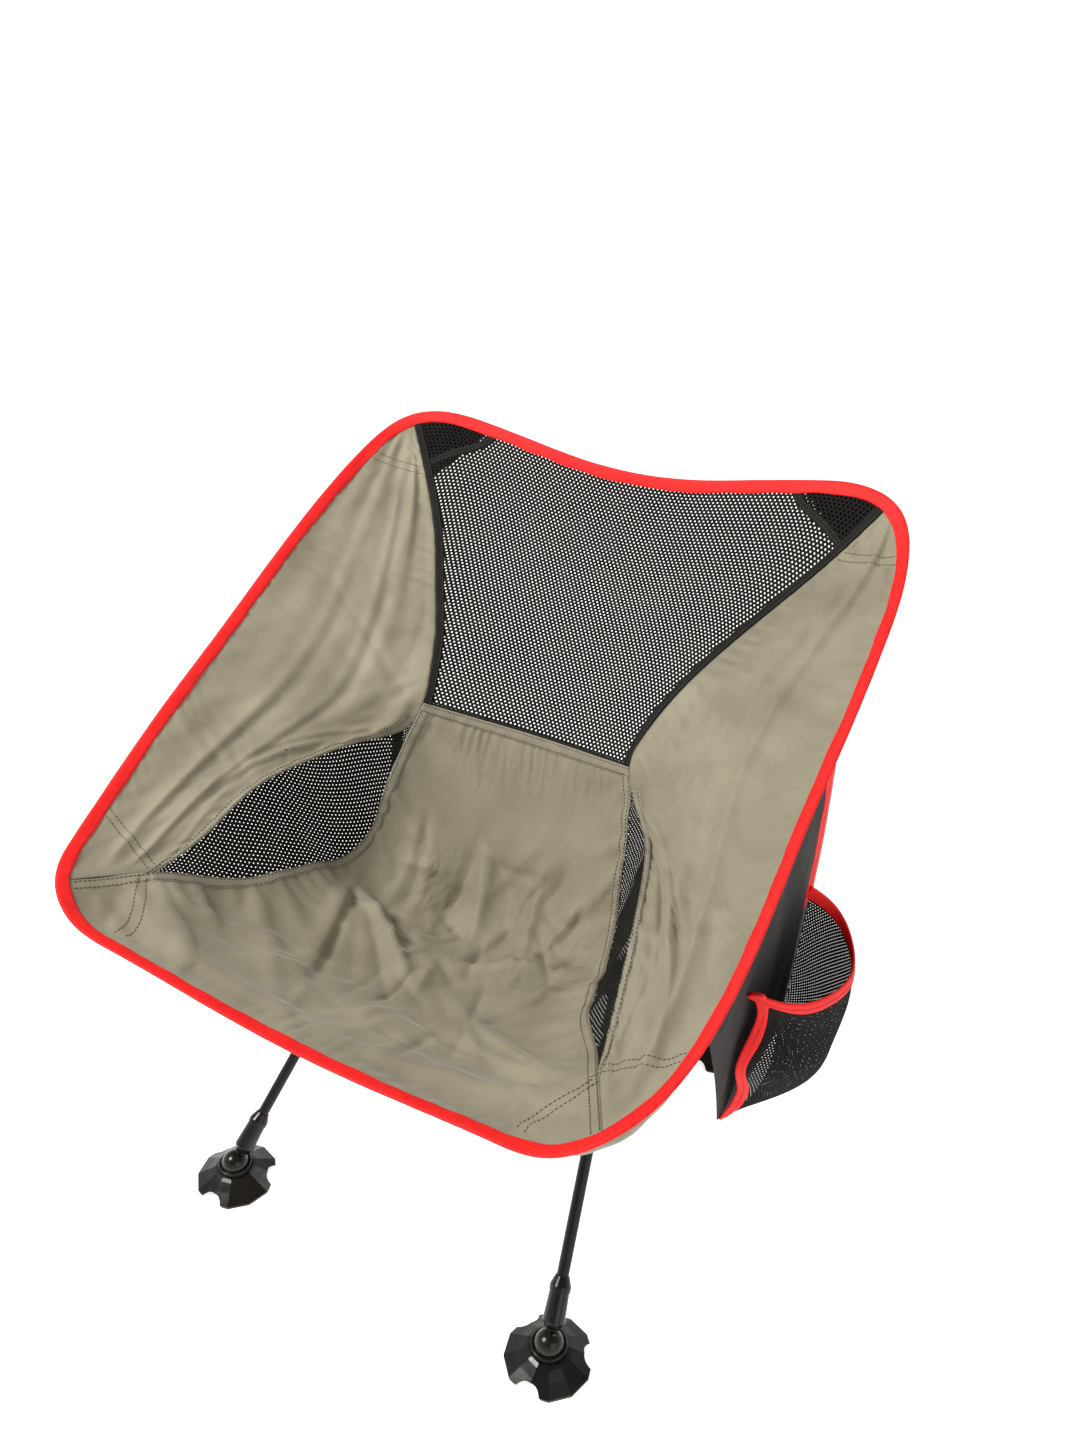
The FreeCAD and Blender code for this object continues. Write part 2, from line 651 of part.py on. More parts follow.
def pocket_rim():
    us = spread(0.012, 0.988, 21)
    rows = edge_strip(pouch_surface, us, 0, BINDING_WIDTH, False)
    return sheet(pouch_surface, us, rows, RIM_THICKNESS)


# ---------------------------------------------------------------- write every sub-part
def write_frame():
    split = LENGTHS["back"] * BACK_SPLIT
    write("crossbar", crossbar())
    write_pair("hub", hub())
    write_pair("hub_cap", hub_cap())
    write("hub_rivets", Part.makeCompound([rivet(), mirror_x(rivet())]))
    write_pair("seat_pole", pole(SEAT_POLE, TUBE_START, LENGTHS["seat"] - TIP_CLOSED))
    write_pair("back_pole_lower", pole(BACK_POLE, TUBE_START, split - SPLIT_GAP))
    write_pair("back_pole_upper", pole(BACK_POLE, split + SPLIT_GAP, LENGTHS["back"] - TIP_CLOSED))
    write_pair("back_pole_ferrule", ferrule())
    write_pair("seat_pole_tip", pole_tip(SEAT_POLE, LENGTHS["seat"]))
    write_pair("back_pole_tip", pole_tip(BACK_POLE, LENGTHS["back"]))
    write_pair("leg_cord", cord(FRONT_LEG, LENGTHS["front"] - LEG_CORD_STOP,
                                REAR_LEG, LENGTHS["rear"] - LEG_CORD_STOP))
    write_pair("pole_cord", cord(SEAT_POLE, LENGTHS["seat"] - POLE_CORD_STOP,
                                 BACK_POLE, LENGTHS["back"] - POLE_CORD_STOP))


def write_legs():
    for end, direction, ball in (("front", FRONT_LEG, FRONT_BALL), ("rear", REAR_LEG, REAR_BALL)):
        write_pair(f"{end}_leg", leg_tube(direction, ball))
        write_pair(f"{end}_boot", boot(direction, ball))
        write_pair(f"{end}_cord_anchor", cord_anchor(direction, ball))
        write_pair(f"{end}_cup_ring", cup_ring(ball))
        write_pair(f"{end}_pad", pad(ball))


def write_sling():
    write("seat_panel", seat_panel())
    write_pair("side_panel", side_panel())
    write_pair("gusset_mesh", gusset())
    write("back_mesh", back_mesh())
    write("edge_binding", edge_binding())
    write("gusset_hems", gusset_hems())
    write("seat_back_hem", seat_back_hem())
    write("mesh_seam_tape", mesh_seam_tape())
    write("mesh_corner_patch", mesh_corner_patch())
    write_pair("front_corner_pocket", front_corner_pocket())
    write_pair("back_corner_pocket", back_corner_pocket())
    write("bottle_pocket_back", pocket_back())
    write("bottle_pocket_mesh", pocket_mesh())
    write("bottle_pocket_rim", pocket_rim())


write_frame()
write_legs()
write_sling()
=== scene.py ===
import math

import bpy
import numpy as np
from mathutils import Matrix, Vector
from mathutils.bvhtree import BVHTree


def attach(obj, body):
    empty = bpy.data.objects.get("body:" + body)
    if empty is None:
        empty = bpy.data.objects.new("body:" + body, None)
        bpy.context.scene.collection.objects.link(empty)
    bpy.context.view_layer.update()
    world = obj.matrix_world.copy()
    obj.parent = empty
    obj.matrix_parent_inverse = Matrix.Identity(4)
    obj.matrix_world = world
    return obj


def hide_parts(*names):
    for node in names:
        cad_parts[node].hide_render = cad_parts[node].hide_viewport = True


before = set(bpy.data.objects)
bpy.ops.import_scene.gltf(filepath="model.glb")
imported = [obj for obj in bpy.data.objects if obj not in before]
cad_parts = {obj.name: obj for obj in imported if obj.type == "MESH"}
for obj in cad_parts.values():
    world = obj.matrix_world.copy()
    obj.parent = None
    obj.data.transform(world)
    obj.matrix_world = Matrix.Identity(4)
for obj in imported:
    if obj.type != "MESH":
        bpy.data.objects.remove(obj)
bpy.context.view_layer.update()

MM = 0.001
FRAME = "frame"              # the body that the sling rides on
SITTER = np.array([0.0, -0.05, 0.75])
OUTSIDE = np.array([1.0, 0.0, 0.3])
CLOTH = 0.8 * MM             # thickness of the sling's fabric
BINDING_WIDTH = 10.5 * MM
HEM_WIDTH = 10 * MM

# ------------ the sling's lines, in mm
FRONT_CORNER = (244, -243, 377)
BACK_CORNER = (242, 246, 641)
SIDE_EDGE = [FRONT_CORNER, (264, -207, 388), (275, -160, 406), (280, -88, 446), (279, -16, 488),
             (280, 56, 529), (279, 130, 571), (272, 195, 608), BACK_CORNER]
FRONT_EDGE = [(0, -253, 332), (90, -254, 338), (171, -257, 349), (211, -258, 359), FRONT_CORNER]
TOP_EDGE = [(0, 268, 617), (60, 268, 621), (110, 267, 630), (165, 266, 640), (212, 258, 646),
            BACK_CORNER]
CORNER_SEAM = [FRONT_CORNER, (226, -211, 367), (207, -177, 358)]
GUSSET_TOP = [(207, -177, 358), (194, -128, 373), (182, -83, 396), (163, -26, 404),
              (142, 20, 406), (113, 56, 416)]
GUSSET_BOTTOM = [(207, -177, 357), (186, -138, 335), (164, -104, 324), (150, -62, 315),
                 (138, -20, 305), (130, 8, 320), (124, 24, 355), (113, 55, 414)]
SEAT_CORNER = (105, 64, 437)
MESH_SIDE = [SEAT_CORNER, (110, 84, 463), (121, 108, 486), (141, 138, 515), (171, 181, 550),
             (202, 214, 586), BACK_CORNER]
SEAT_BACK = [(0, 82, 427), (60, 76, 430), SEAT_CORNER]
SEAT_SAG = 7 * MM
BACK_BELLY = 9 * MM

POCKET_HANG = [(274, -158, 402), (276, -88, 436), (275, -20, 476), (277, 44, 512)]
POCKET_FRONT = [(274, -158, 402), (268, -112, 318), (262, -76, 243)]
POCKET_REAR = [(277, 44, 512), (276, 50, 430), (272, 50, 330), (268, 46, 241)]
POCKET_FOOT = [(262, -76, 243), (265, -15, 236), (268, 46, 241)]
POUCH_FRONT = [(277, -86, 388), (280, -74, 354), (274, -86, 318), (274, -74, 282), (263, -73, 243)]
POUCH_REAR = [(276, 41, 396), (273, 41, 330), (269, 39, 242)]
POUCH_RIM = [(277, -86, 388), (303, -66, 374), (321, -25, 362), (322, 20, 358), (303, 46, 374),
             (276, 41, 396)]
POUCH_FOOT = [(263, -73, 243), (276, -15, 236), (269, 39, 242)]
POUCH_BULGE = 45 * MM

# How the rim's line is counted: its points go round from the middle of the front edge.
FRONT_KNOT = len(FRONT_EDGE) - 1
BACK_KNOT = FRONT_KNOT + len(SIDE_EDGE) - 1
BACK_KNOT_RIGHT = BACK_KNOT + 2 * (len(TOP_EDGE) - 1)
SPAN = 40                    # samples from one point of a line to the next


# ------------ smooth lines
def mirrored(points):
    return [(-x, y, z) for x, y, z in points]


def line_slopes(points, closed):
    """The direction at each point of the smoothest line through them, and the gaps between."""
    gaps = np.linalg.norm(np.diff(points, axis=0), axis=1)
    chords = np.diff(points, axis=0) / gaps[:, None]
    count = len(points)
    system, right = np.zeros((count, count)), np.zeros((count, 3))
    for i in range(1, count - 1):
        system[i, i - 1:i + 2] = gaps[i], 2 * (gaps[i - 1] + gaps[i]), gaps[i - 1]
        right[i] = 3 * (gaps[i] * chords[i - 1] + gaps[i - 1] * chords[i])
    system[0, 0] = 1
    if closed:
        system[0, -1] = -1
        system[-1, [1, 0, -2]] = gaps[-1], 2 * (gaps[-1] + gaps[0]), gaps[0]
        right[-1] = 3 * (gaps[0] * chords[-1] + gaps[-1] * chords[0])
    else:
        system[-1, -1] = 1
        right[0] = chords[0] + gaps[0] * (chords[0] - chords[1]) / (gaps[0] + gaps[1])
        right[-1] = chords[-1] + gaps[-1] * (chords[-1] - chords[-2]) / (gaps[-1] + gaps[-2])
    return np.linalg.solve(system, right), gaps


def line_samples(points_mm, closed=False):
    """Points close together on the smooth line through the given ones, SPAN to each gap."""
    points = np.array(points_mm, float) * MM
    if closed:
        points = np.vstack([points, points[:1]])
    slopes, gaps = line_slopes(points, closed)
    t = (np.arange(SPAN) / SPAN)[:, None]
    samples = []
    for i, gap in enumerate(gaps):
        start = (1 + 2 * t) * (1 - t) ** 2 * points[i] + t * (1 - t) ** 2 * gap * slopes[i]
        end = t * t * (3 - 2 * t) * points[i + 1] + t * t * (t - 1) * gap * slopes[i + 1]
        samples.append(start + end)
    if not closed:
        samples.append(points[-1:])
    return np.vstack(samples)


def line_lengths(points):
    """The length of the line up to each of its points."""
    return np.append(0, np.cumsum(np.linalg.norm(np.diff(points, axis=0), axis=1)))


def read_along(where, lengths, values):
    """The values given at some lengths along a line, read at other lengths."""
    return np.stack([np.interp(where, lengths, values[:, k]) for k in range(3)], -1)


def by_length(samples):
    """The line as a function of the share of its length."""
    lengths = line_lengths(samples)

    def at(share):
        return read_along(np.asarray(share) * lengths[-1], lengths, samples)
    return at


def curve(points_mm):
    return by_length(line_samples(points_mm))


def whole_width(points_mm):
    """The full left-to-right line of a half line that starts on the plane of symmetry."""
    return curve(mirrored(points_mm)[:0:-1] + points_mm)


RIM_HALF = FRONT_EDGE + SIDE_EDGE[1:] + TOP_EDGE[-2:0:-1]
RIM_SAMPLES = line_samples(RIM_HALF + [TOP_EDGE[0]] + mirrored(RIM_HALF)[:0:-1], closed=True)


def rim_part(first, last):
    """The rim between two of its points, as a function of the share of that part's length."""
    step = 1 if last > first else -1
    return by_length(RIM_SAMPLES[np.arange(first * SPAN, last * SPAN + step, step) % len(RIM_SAMPLES)])


# ------------ surfaces
def coons(start, end, near, far, belly=(0, 0, 0)):
    """The surface between two lines along u (start, end) and two along v (near, far)."""
    zero, one = np.zeros(1), np.ones(1)

    def at(u, v):
        a, b = u[..., None], v[..., None]
        along = start(u) * (1 - b) + end(u) * b
        across = near(v) * (1 - a) + far(v) * a
        corners = ((start(zero) * (1 - a) + start(one) * a) * (1 - b)
                   + (end(zero) * (1 - a) + end(one) * a) * b)
        return along + across - corners + np.array(belly) * (16 * a * (1 - a) * b * (1 - b))
    return at


SOFT_REACH = 0.16            # how far a softened line is averaged, as a share of its length
SOFT_SAMPLES = 9


def softened(line):
    """The line averaged over a stretch to each side, which narrows to nothing at its ends."""
    def at(share):
        share = np.asarray(share)
        span = np.minimum(SOFT_REACH, np.minimum(share, 1 - share))
        return sum(line(share + span * step) for step in np.linspace(-1, 1, SOFT_SAMPLES)) / SOFT_SAMPLES
    return at


def ruled(inner, outer):
    """The surface between two lines, where the inner one's sharp turns die out on the way out."""
    soft = softened(inner)

    def at(u, v):
        b = v[..., None]
        return soft(u) * (1 - b) + outer(u) * b + (inner(u) - soft(u)) * (1 - b) ** 3
    return at


def blend_points(grid, u, v):
    """The grid's values at u and v from 0 to 1, blended from the four nearest."""
    x = np.clip(u, 0, 1) * (grid.shape[0] - 1)
    y = np.clip(v, 0, 1) * (grid.shape[1] - 1)
    i = np.minimum(x.astype(int), grid.shape[0] - 2)
    j = np.minimum(y.astype(int), grid.shape[1] - 2)
    a, b = (x - i)[..., None], (y - j)[..., None]
    return ((grid[i, j] * (1 - a) + grid[i + 1, j] * a) * (1 - b)
            + (grid[i, j + 1] * (1 - a) + grid[i + 1, j + 1] * a) * b)


def unit(vectors):
    return vectors / np.maximum(np.linalg.norm(vectors, axis=-1, keepdims=True), 1e-12)


class Panel:
    """A fabric surface: a grid of points and normals, read at u and v from 0 to 1."""

    def __init__(self, points, facing=None, toward=None, normals=None):
        self.points = points
        if normals is None:
            normals = unit(np.cross(np.gradient(points, axis=0), np.gradient(points, axis=1)))
            side = facing - points if facing is not None else toward
            normals = normals * np.sign((normals * side).sum())
        self.normals = normals

    def at(self, u, v, lift=0.0):
        u, v = np.broadcast_arrays(np.asarray(u, float), np.asarray(v, float))
        lift = np.broadcast_to(lift, u.shape)[..., None]
        return blend_points(self.points, u, v) + unit(blend_points(self.normals, u, v)) * lift

    def normal(self, u, v):
        return unit(blend_points(self.normals, np.asarray(u, float), np.asarray(v, float)))

    def turned(self):
        """The same panel with u and v exchanged."""
        return Panel(self.points.transpose(1, 0, 2), normals=self.normals.transpose(1, 0, 2))

    def flipped(self):
        """The same panel with v counted from its other edge."""
        return Panel(self.points[:, ::-1], normals=self.normals[:, ::-1])

    def moved(self, points):
        """The same panel with its points elsewhere."""
        return Panel(points, toward=self.normals[len(self.normals) // 2, self.normals.shape[1] // 2])

    def flat(self):
        """Each point's place in the flat cloth: across from the middle line, and down it."""
        steps = np.linalg.norm(np.diff(self.points, axis=0), axis=2)
        across = np.vstack([np.zeros((1, steps.shape[1])), np.cumsum(steps, axis=0)])
        across -= across[len(across) // 2]
        down = line_lengths(self.points[len(self.points) // 2])
        return np.stack([across, np.broadcast_to(down, across.shape)], -1)

    def depth(self, u):
        """The panel's length along v at each u."""
        lengths = np.linalg.norm(np.diff(self.points, axis=1), axis=2).sum(1)
        return np.interp(u, np.linspace(0, 1, len(lengths)), lengths)

    def length(self):
        """The panel's length along its edge at v = 0."""
        return line_lengths(self.at(np.linspace(0, 1, 400), 0.0))[-1]


def panel_on(surface, across, down, facing=None, toward=None, us=(0, 1), vs=(0, 1)):
    """The panel on a surface function, with so many points each way."""
    u, v = np.meshgrid(np.linspace(*us, across), np.linspace(*vs, down), indexing="ij")
    return Panel(surface(u, v), facing=facing, toward=toward)


# ------------ folds and wrinkles
def waves(flat, length, angle, spread, count, seed):
    """Soft uneven ridges: waves of about one length, that run about one way. From -1 to 1."""
    random = np.random.default_rng(seed)
    total = 0
    for _ in range(count):
        turn = angle + random.uniform(-spread, spread)
        pitch = length * random.uniform(0.65, 1.6)
        phase = random.uniform(0, 2 * math.pi)
        along = flat[..., 0] * math.cos(turn) + flat[..., 1] * math.sin(turn)
        total = total + np.cos(2 * math.pi * along / pitch + phase)
    return total / math.sqrt(count) * 0.8


def fold(flat, start, end, height, width):
    """One long fold from start to end, in the flat cloth, sharper at its middle."""
    start, end = np.array(start) * MM, np.array(end) * MM
    run = end - start
    share = np.clip(((flat - start) @ run) / (run @ run), 0, 1)
    away = np.linalg.norm(flat - start - share[..., None] * run, axis=-1)
    taper = np.sin(math.pi * np.clip(share * 0.9 + 0.05, 0, 1)) ** 0.7
    return height * MM * taper / (1 + (away / (width * MM)) ** 2) ** 1.5


def fans(flat, lines, seed):
    """Groups of folds. Each line gives a start, an aim, the aim's spread, a count, height and width."""
    random = np.random.default_rng(seed)
    total = 0
    for start, aim, spread, count, height, width in lines:
        for k in range(count):
            begin = np.array(start) + random.uniform(-8, 8, 2)
            end = np.array(aim) + random.uniform(-spread, spread, 2)
            tall = height * random.uniform(0.5, 1.2) * (1 if k % 3 else -0.8)
            total = total + fold(flat, begin, end, tall, width * random.uniform(0.7, 1.3))
    return total


def crumples(flat, low, high, count, height, width, seed):
    """Short folds that lie every way inside a box of the flat cloth, in mm."""
    random = np.random.default_rng(seed)
    total = 0
    for k in range(count):
        middle, turn = random.uniform(low, high), random.uniform(0, math.pi)
        half = np.array([math.cos(turn), math.sin(turn)]) * random.uniform(12, 38)
        tall = height * random.uniform(0.4, 1.2) * (1 if k % 2 else -1)
        total = total + fold(flat, middle - half, middle + half, tall, width * random.uniform(0.7, 1.4))
    return total


def edge_fade(shape, reach_u, reach_v):
    """0 on a panel's four edges, rising to 1 at a share of its size inside them."""
    u, v = np.linspace(0, 1, shape[0])[:, None], np.linspace(0, 1, shape[1])[None]
    fade_u = np.clip(np.minimum(u, 1 - u) / reach_u, 0, 1)
    fade_v = np.clip(np.minimum(v, 1 - v) / reach_v, 0, 1)
    return (1 - np.cos(fade_u * math.pi)) * (1 - np.cos(fade_v * math.pi)) / 4


def pushed(panel, push):
    """The panel moved along its normals."""
    return panel.moved(panel.points + panel.normals * push[..., None])


def rippled(panel, length, angle, spread, count, height, seed, fade=(0.1, 0.1)):
    """The panel with soft waves that die out towards its edges. length and height are in mm."""
    push = waves(panel.flat(), length * MM, angle, spread, count, seed) * height * MM
    return pushed(panel, push * edge_fade(push.shape, *fade))


def grid_faces(rows, columns, start=0):
    """The faces between neighbours in a grid of points, whose numbers begin at start."""
    corner = (np.arange(rows - 1)[:, None] * columns + np.arange(columns - 1)).ravel() + start
    return np.stack([corner, corner + columns, corner + columns + 1, corner + 1], 1)


def tube_faces(rings, sides, closed=False):
    """The faces round a row of rings. Its ends are capped, or joined to each other if closed."""
    i, j = np.mgrid[:rings if closed else rings - 1, :sides]
    ahead, beside = (i + 1) % rings * sides, (j + 1) % sides
    i = i * sides
    faces = np.stack([i + j, ahead + j, ahead + beside, i + beside], -1).reshape(-1, 4).tolist()
    if not closed:
        faces += [list(range(sides)), list(range((rings - 1) * sides, rings * sides))[::-1]]
    return faces


CLOTH_SETTINGS = {"quality": 7, "mass": 0.12, "tension_stiffness": 30, "compression_stiffness": 30,
                  "shear_stiffness": 12, "air_damping": 4, "vertex_group_mass": "held"}
SEAM_REACH = (0.04, 0.08)    # how far from its seams a cloth settles less, along u and v


def settled(panel, growth, frames, most, stiffness):
    """The panel hung from its four edges by a cloth simulation.

    It is cut larger by the share growth, and no point of it moves further than most.
    """
    rows, columns = panel.points.shape[:2]
    mesh = bpy.data.meshes.new("settling")
    mesh.from_pydata(panel.points.reshape(-1, 3).tolist(), [], grid_faces(rows, columns).tolist())
    cloth_object = bpy.data.objects.new("settling", mesh)
    bpy.context.scene.collection.objects.link(cloth_object)
    held = cloth_object.vertex_groups.new(name="held")
    index = np.arange(rows * columns).reshape(rows, columns)
    edges = np.concatenate([index[0], index[-1], index[:, 0], index[:, -1]])
    held.add(sorted(set(edges.tolist())), 1.0, "REPLACE")
    cloth = cloth_object.modifiers.new("cloth", "CLOTH")
    for setting, value in CLOTH_SETTINGS.items():
        setattr(cloth.settings, setting, value)
    cloth.settings.bending_stiffness = stiffness
    cloth.settings.shrink_min = -growth
    cloth.collision_settings.use_collision = False
    for step in range(1, frames + 1):
        bpy.context.scene.frame_set(step)
    shaped = cloth_object.evaluated_get(bpy.context.evaluated_depsgraph_get())
    points = np.empty(rows * columns * 3)
    shaped.data.vertices.foreach_get("co", points)
    bpy.data.objects.remove(cloth_object)
    bpy.context.scene.frame_set(1)
    shift = points.reshape(panel.points.shape) - panel.points
    shift = shift * edge_fade((rows, columns), *SEAM_REACH)[..., None]
    size = np.linalg.norm(shift, axis=2, keepdims=True)
    return panel.moved(panel.points + shift / np.maximum(size, 1e-9) * most * np.tanh(size / most))


def finer(panel, factor):
    """The panel's grid with more points, on smooth lines through the old ones."""
    points = panel.points
    for _ in range(2):
        count = (len(points) - 1) * factor + 1
        x = np.linspace(0, len(points) - 1, count)
        i = np.clip(x.astype(int), 0, len(points) - 2)
        t = (x - i)[:, None, None]
        before, after = np.maximum(i - 1, 0), np.minimum(i + 2, len(points) - 1)
        m0 = (points[i + 1] - points[before]) / 2
        m1 = (points[after] - points[i]) / 2
        points = ((2 * t ** 3 - 3 * t ** 2 + 1) * points[i] + (t ** 3 - 2 * t ** 2 + t) * m0
                  + (3 * t ** 2 - 2 * t ** 3) * points[i + 1] + (t ** 3 - t ** 2) * m1)
        points = points.transpose(1, 0, 2)
    return panel.moved(points)


# ------------ making pieces
def piece(name, points, faces, material, flat):
    """A mesh piece that rides on the frame. flat is each point's place in the flat cloth."""
    mesh = bpy.data.meshes.new(name)
    mesh.from_pydata(np.asarray(points).reshape(-1, 3).tolist(), [], [list(f) for f in faces])
    mesh.polygons.foreach_set("use_smooth", [True] * len(mesh.polygons))
    values = np.zeros((len(mesh.vertices), 3), np.float32)
    values[:, :2] = flat.reshape(-1, 2)
    mesh.attributes.new("flat", "FLOAT_VECTOR", "POINT").data.foreach_set("vector", values.ravel())
    mesh.materials.append(material)
    made = bpy.data.objects.new(name, mesh)
    bpy.context.scene.collection.objects.link(made)
    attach(made, FRAME)
    return made


def solid_faces(rows, columns):
    """Faces of a closed solid between an upper and a lower grid of points."""
    count = rows * columns
    index = np.arange(count).reshape(rows, columns)
    sides = [np.stack([rim[:-1], rim[1:], rim[1:] + count, rim[:-1] + count], 1)
             for rim in (index[::-1, 0], index[:, -1], index[0], index[-1, ::-1])]
    return np.vstack([grid_faces(rows, columns), grid_faces(rows, columns, count)[:, ::-1]] + sides)


def outward(points, faces):
    """The faces, turned so that the solid's volume is positive."""
    p = points[faces]
    volume = (p[:, 0] * np.cross(p[:, 1], p[:, 2])).sum() + (p[:, 0] * np.cross(p[:, 2], p[:, 3])).sum()
    return faces if volume > 0 else faces[:, ::-1]


def solid(upper, lower):
    """The points and faces of the closed solid between two grids of points."""
    points = np.concatenate([upper.reshape(-1, 3), lower.reshape(-1, 3)])
    return points, outward(points, solid_faces(*upper.shape[:2]))


SEAM_ROWS = 5                # the rows of points over which a cloth thins towards its seams
SEAM_THINNESS = 0.3


def slab(name, panel, material):
    """A panel of cloth as a thin closed solid, with its borders pressed flat in their seams."""
    u, v = np.meshgrid(*(np.linspace(0, 1, n) for n in panel.points.shape[:2]), indexing="ij")
    rows, columns = u.shape
    seam_gap = np.minimum(np.minimum(*np.ogrid[:rows, :columns]),
                          np.minimum(*np.ogrid[rows - 1:-1:-1, columns - 1:-1:-1]))
    half = CLOTH / 2 * np.clip(seam_gap / SEAM_ROWS, SEAM_THINNESS, 1)
    points, faces = solid(panel.at(u, v, half), panel.at(u, v, -half))
    flat = panel.flat().reshape(-1, 2)
    return piece(name, points, faces, material, np.vstack([flat, flat]))


class Parts:
    """Several solids that make one piece."""

    def __init__(self):
        self.points, self.faces, self.flats, self.count = [], [], [], 0

    def add(self, points, faces, flat):
        self.points.append(points)
        self.faces += [[k + self.count for k in face] for face in faces]
        self.flats.append(flat)
        self.count += len(points)

    def made(self, name, material, slot):
        return piece(name, np.vstack(self.points), self.faces, material, np.vstack(self.flats))


# A hem's section: share of its width, and of its thickness.
STRIP_SHAPE = ((0.0, 0.15), (0.06, 0.75), (0.16, 1.0), (0.5, 0.92), (0.84, 1.0), (0.94, 0.75), (1.0, 0.15))
STRIP_STEP = 3 * MM


def add_strip(parts, panel, start, end, thickness, us, side=1, ripple=0.0):
    """A flat hem or tape on a panel, between two distances from the panel's edge at v = 0."""
    count = max(int(panel.length() * (us[1] - us[0]) / STRIP_STEP), 4)
    u = np.linspace(*us, count)[:, None]
    shares, heights = np.array(STRIP_SHAPE).T[:, None]
    away = start + (end - start) * shares + 0 * u
    v = away / np.maximum(panel.depth(u[:, 0])[:, None], end)
    wave = ripple * np.cos(u * panel.length() / (7 * MM) + 1.7 * np.sin(u * 31))
    lift = (CLOTH / 2 + thickness * heights + wave * heights) * side
    upper = panel.at(u + 0 * v, v, lift)
    lower = panel.at(u + 0 * v, v, (CLOTH / 2 - 0.1 * MM) * side)
    points, faces = solid(upper, lower)
    flat = np.stack([u * panel.length() + 0 * v, away], -1)
    parts.add(points, faces, np.concatenate([flat.reshape(-1, 2)] * 2))


# ------------ stitches
STITCH = 2.6 * MM
STITCH_PITCH = 3.5 * MM
STITCH_R = 0.34 * MM
STITCH_SIDES = 5
STITCH_LIFT = CLOTH / 2 + 0.1 * MM
# A stitch's rings: share of its length, and radius and rise as shares of STITCH_R.
STITCH_SHAPE = ((0.0, 0.35, -0.3), (0.22, 1.0, 0.55), (0.78, 1.0, 0.55), (1.0, 0.35, -0.3))


def add_stitches(parts, points, normals):
    """A row of stitches along a line of points that lies on the cloth."""
    lengths = line_lengths(points)
    turns = 2 * math.pi * np.arange(STITCH_SIDES) / STITCH_SIDES
    faces = [face[::-1] for face in tube_faces(len(STITCH_SHAPE), STITCH_SIDES)]
    for middle in np.arange(STITCH_PITCH / 2, lengths[-1], STITCH_PITCH):
        ends = read_along([middle - STITCH / 2, middle + STITCH / 2], lengths, points)
        up = unit(read_along(middle, lengths, normals))
        across = np.cross(unit(ends[1] - ends[0]), up)
        ring = STITCH_R * (np.cos(turns)[:, None] * across + np.sin(turns)[:, None] * up)
        rings = [ends[0] * (1 - share) + ends[1] * share + up * STITCH_R * rise + ring * size
                 for share, size, rise in STITCH_SHAPE]
        parts.add(np.vstack(rings), faces, np.zeros((len(rings) * STITCH_SIDES, 2)))


def stitch_line(parts, panel, u, v, lift=STITCH_LIFT):
    """Stitches on a panel along a line given by its u and v values."""
    add_stitches(parts, panel.at(u, v, lift), panel.normal(u, v))


def stitch_edge(parts, panel, away, lift=STITCH_LIFT, us=(0, 1)):
    """Stitches that follow a panel's edge at v = 0, at one distance from it."""
    u = np.linspace(*us, 200)
    stitch_line(parts, panel, u, away / np.maximum(panel.depth(u), away), lift)


# ------------ nets
HEXAGON = np.array(((0, 2), (1, 1), (1, -1), (0, -2), (-1, -1), (-1, 1)))
SLING_NET = (4.3 * MM, 2.9 * MM, 0.7 * MM)   # pitch in a row, gap between rows, thickness
POUCH_NET = (2.5 * MM, 1.9 * MM, 0.5 * MM)


def net(name, panel, size, strand, keep=None, lift=0.0):
    """A closed knitted net on a panel: hexagonal meshes in staggered rows along u.

    size is as SLING_NET, and strand is the yarn's width between two meshes.
    """
    pitch, row, thickness = size
    flat = panel.flat()
    down, left, right = flat[0, :, 1], flat[0, :, 0], flat[-1, :, 0]
    first = int(left.min() / pitch) - 1
    last = first + int((right.max() - left.min()) / pitch) + 3

    def to_uv(places):
        s, t = places.T
        low, high = np.interp(t, down, left), np.interp(t, down, right)
        return (s - low) / (high - low), np.interp(t, down, np.linspace(0, 1, len(down)))

    cells = np.array([(2 * i + j % 2, 3 * j) for j in range(int(down[-1] / row) + 2)
                      for i in range(first, last)])
    cell, origin = np.array([pitch / 2, row / 3]), np.array([0, row / 2])
    centre = cells * cell + origin
    u, v = to_uv(centre)
    kept = (u > 0) & (u < 1) & (centre[:, 1] > 0) & (centre[:, 1] < down[-1])
    if keep is not None:
        kept &= keep(u, v)
    corners = cells[kept][:, None] + HEXAGON
    keys, index = np.unique(corners.reshape(-1, 2), axis=0, return_inverse=True)
    outer = keys * cell + origin
    reach = (min(pitch, 4 * row / 3) - strand) / 2
    inner = (centre[kept][:, None] + unit(HEXAGON * cell) * reach).reshape(-1, 2)
    points = np.vstack([panel.at(*to_uv(outer), lift + thickness / 2),
                        panel.at(*to_uv(outer), lift - thickness / 2), panel.at(*to_uv(inner), lift)])
    count = len(outer)
    index = index.reshape(-1, 6)
    middle = np.arange(len(inner)).reshape(-1, 6) + 2 * count
    ahead, middle_ahead = np.roll(index, -1, 1), np.roll(middle, -1, 1)
    front = np.stack([index, ahead, middle_ahead, middle], -1).reshape(-1, 4)
    back = np.stack([index + count, middle, middle_ahead, ahead + count], -1).reshape(-1, 4)
    edges = np.stack([index, ahead], -1).reshape(-1, 2)
    _, where, uses = np.unique(np.sort(edges, axis=1), axis=0, return_index=True, return_counts=True)
    a, b = edges[where[uses == 1]].T
    faces = np.vstack([front, back, np.stack([b, a, a + count, b + count], 1)])
    return piece(name, points, outward(points, faces), yarn, np.vstack([outer, outer, inner]))


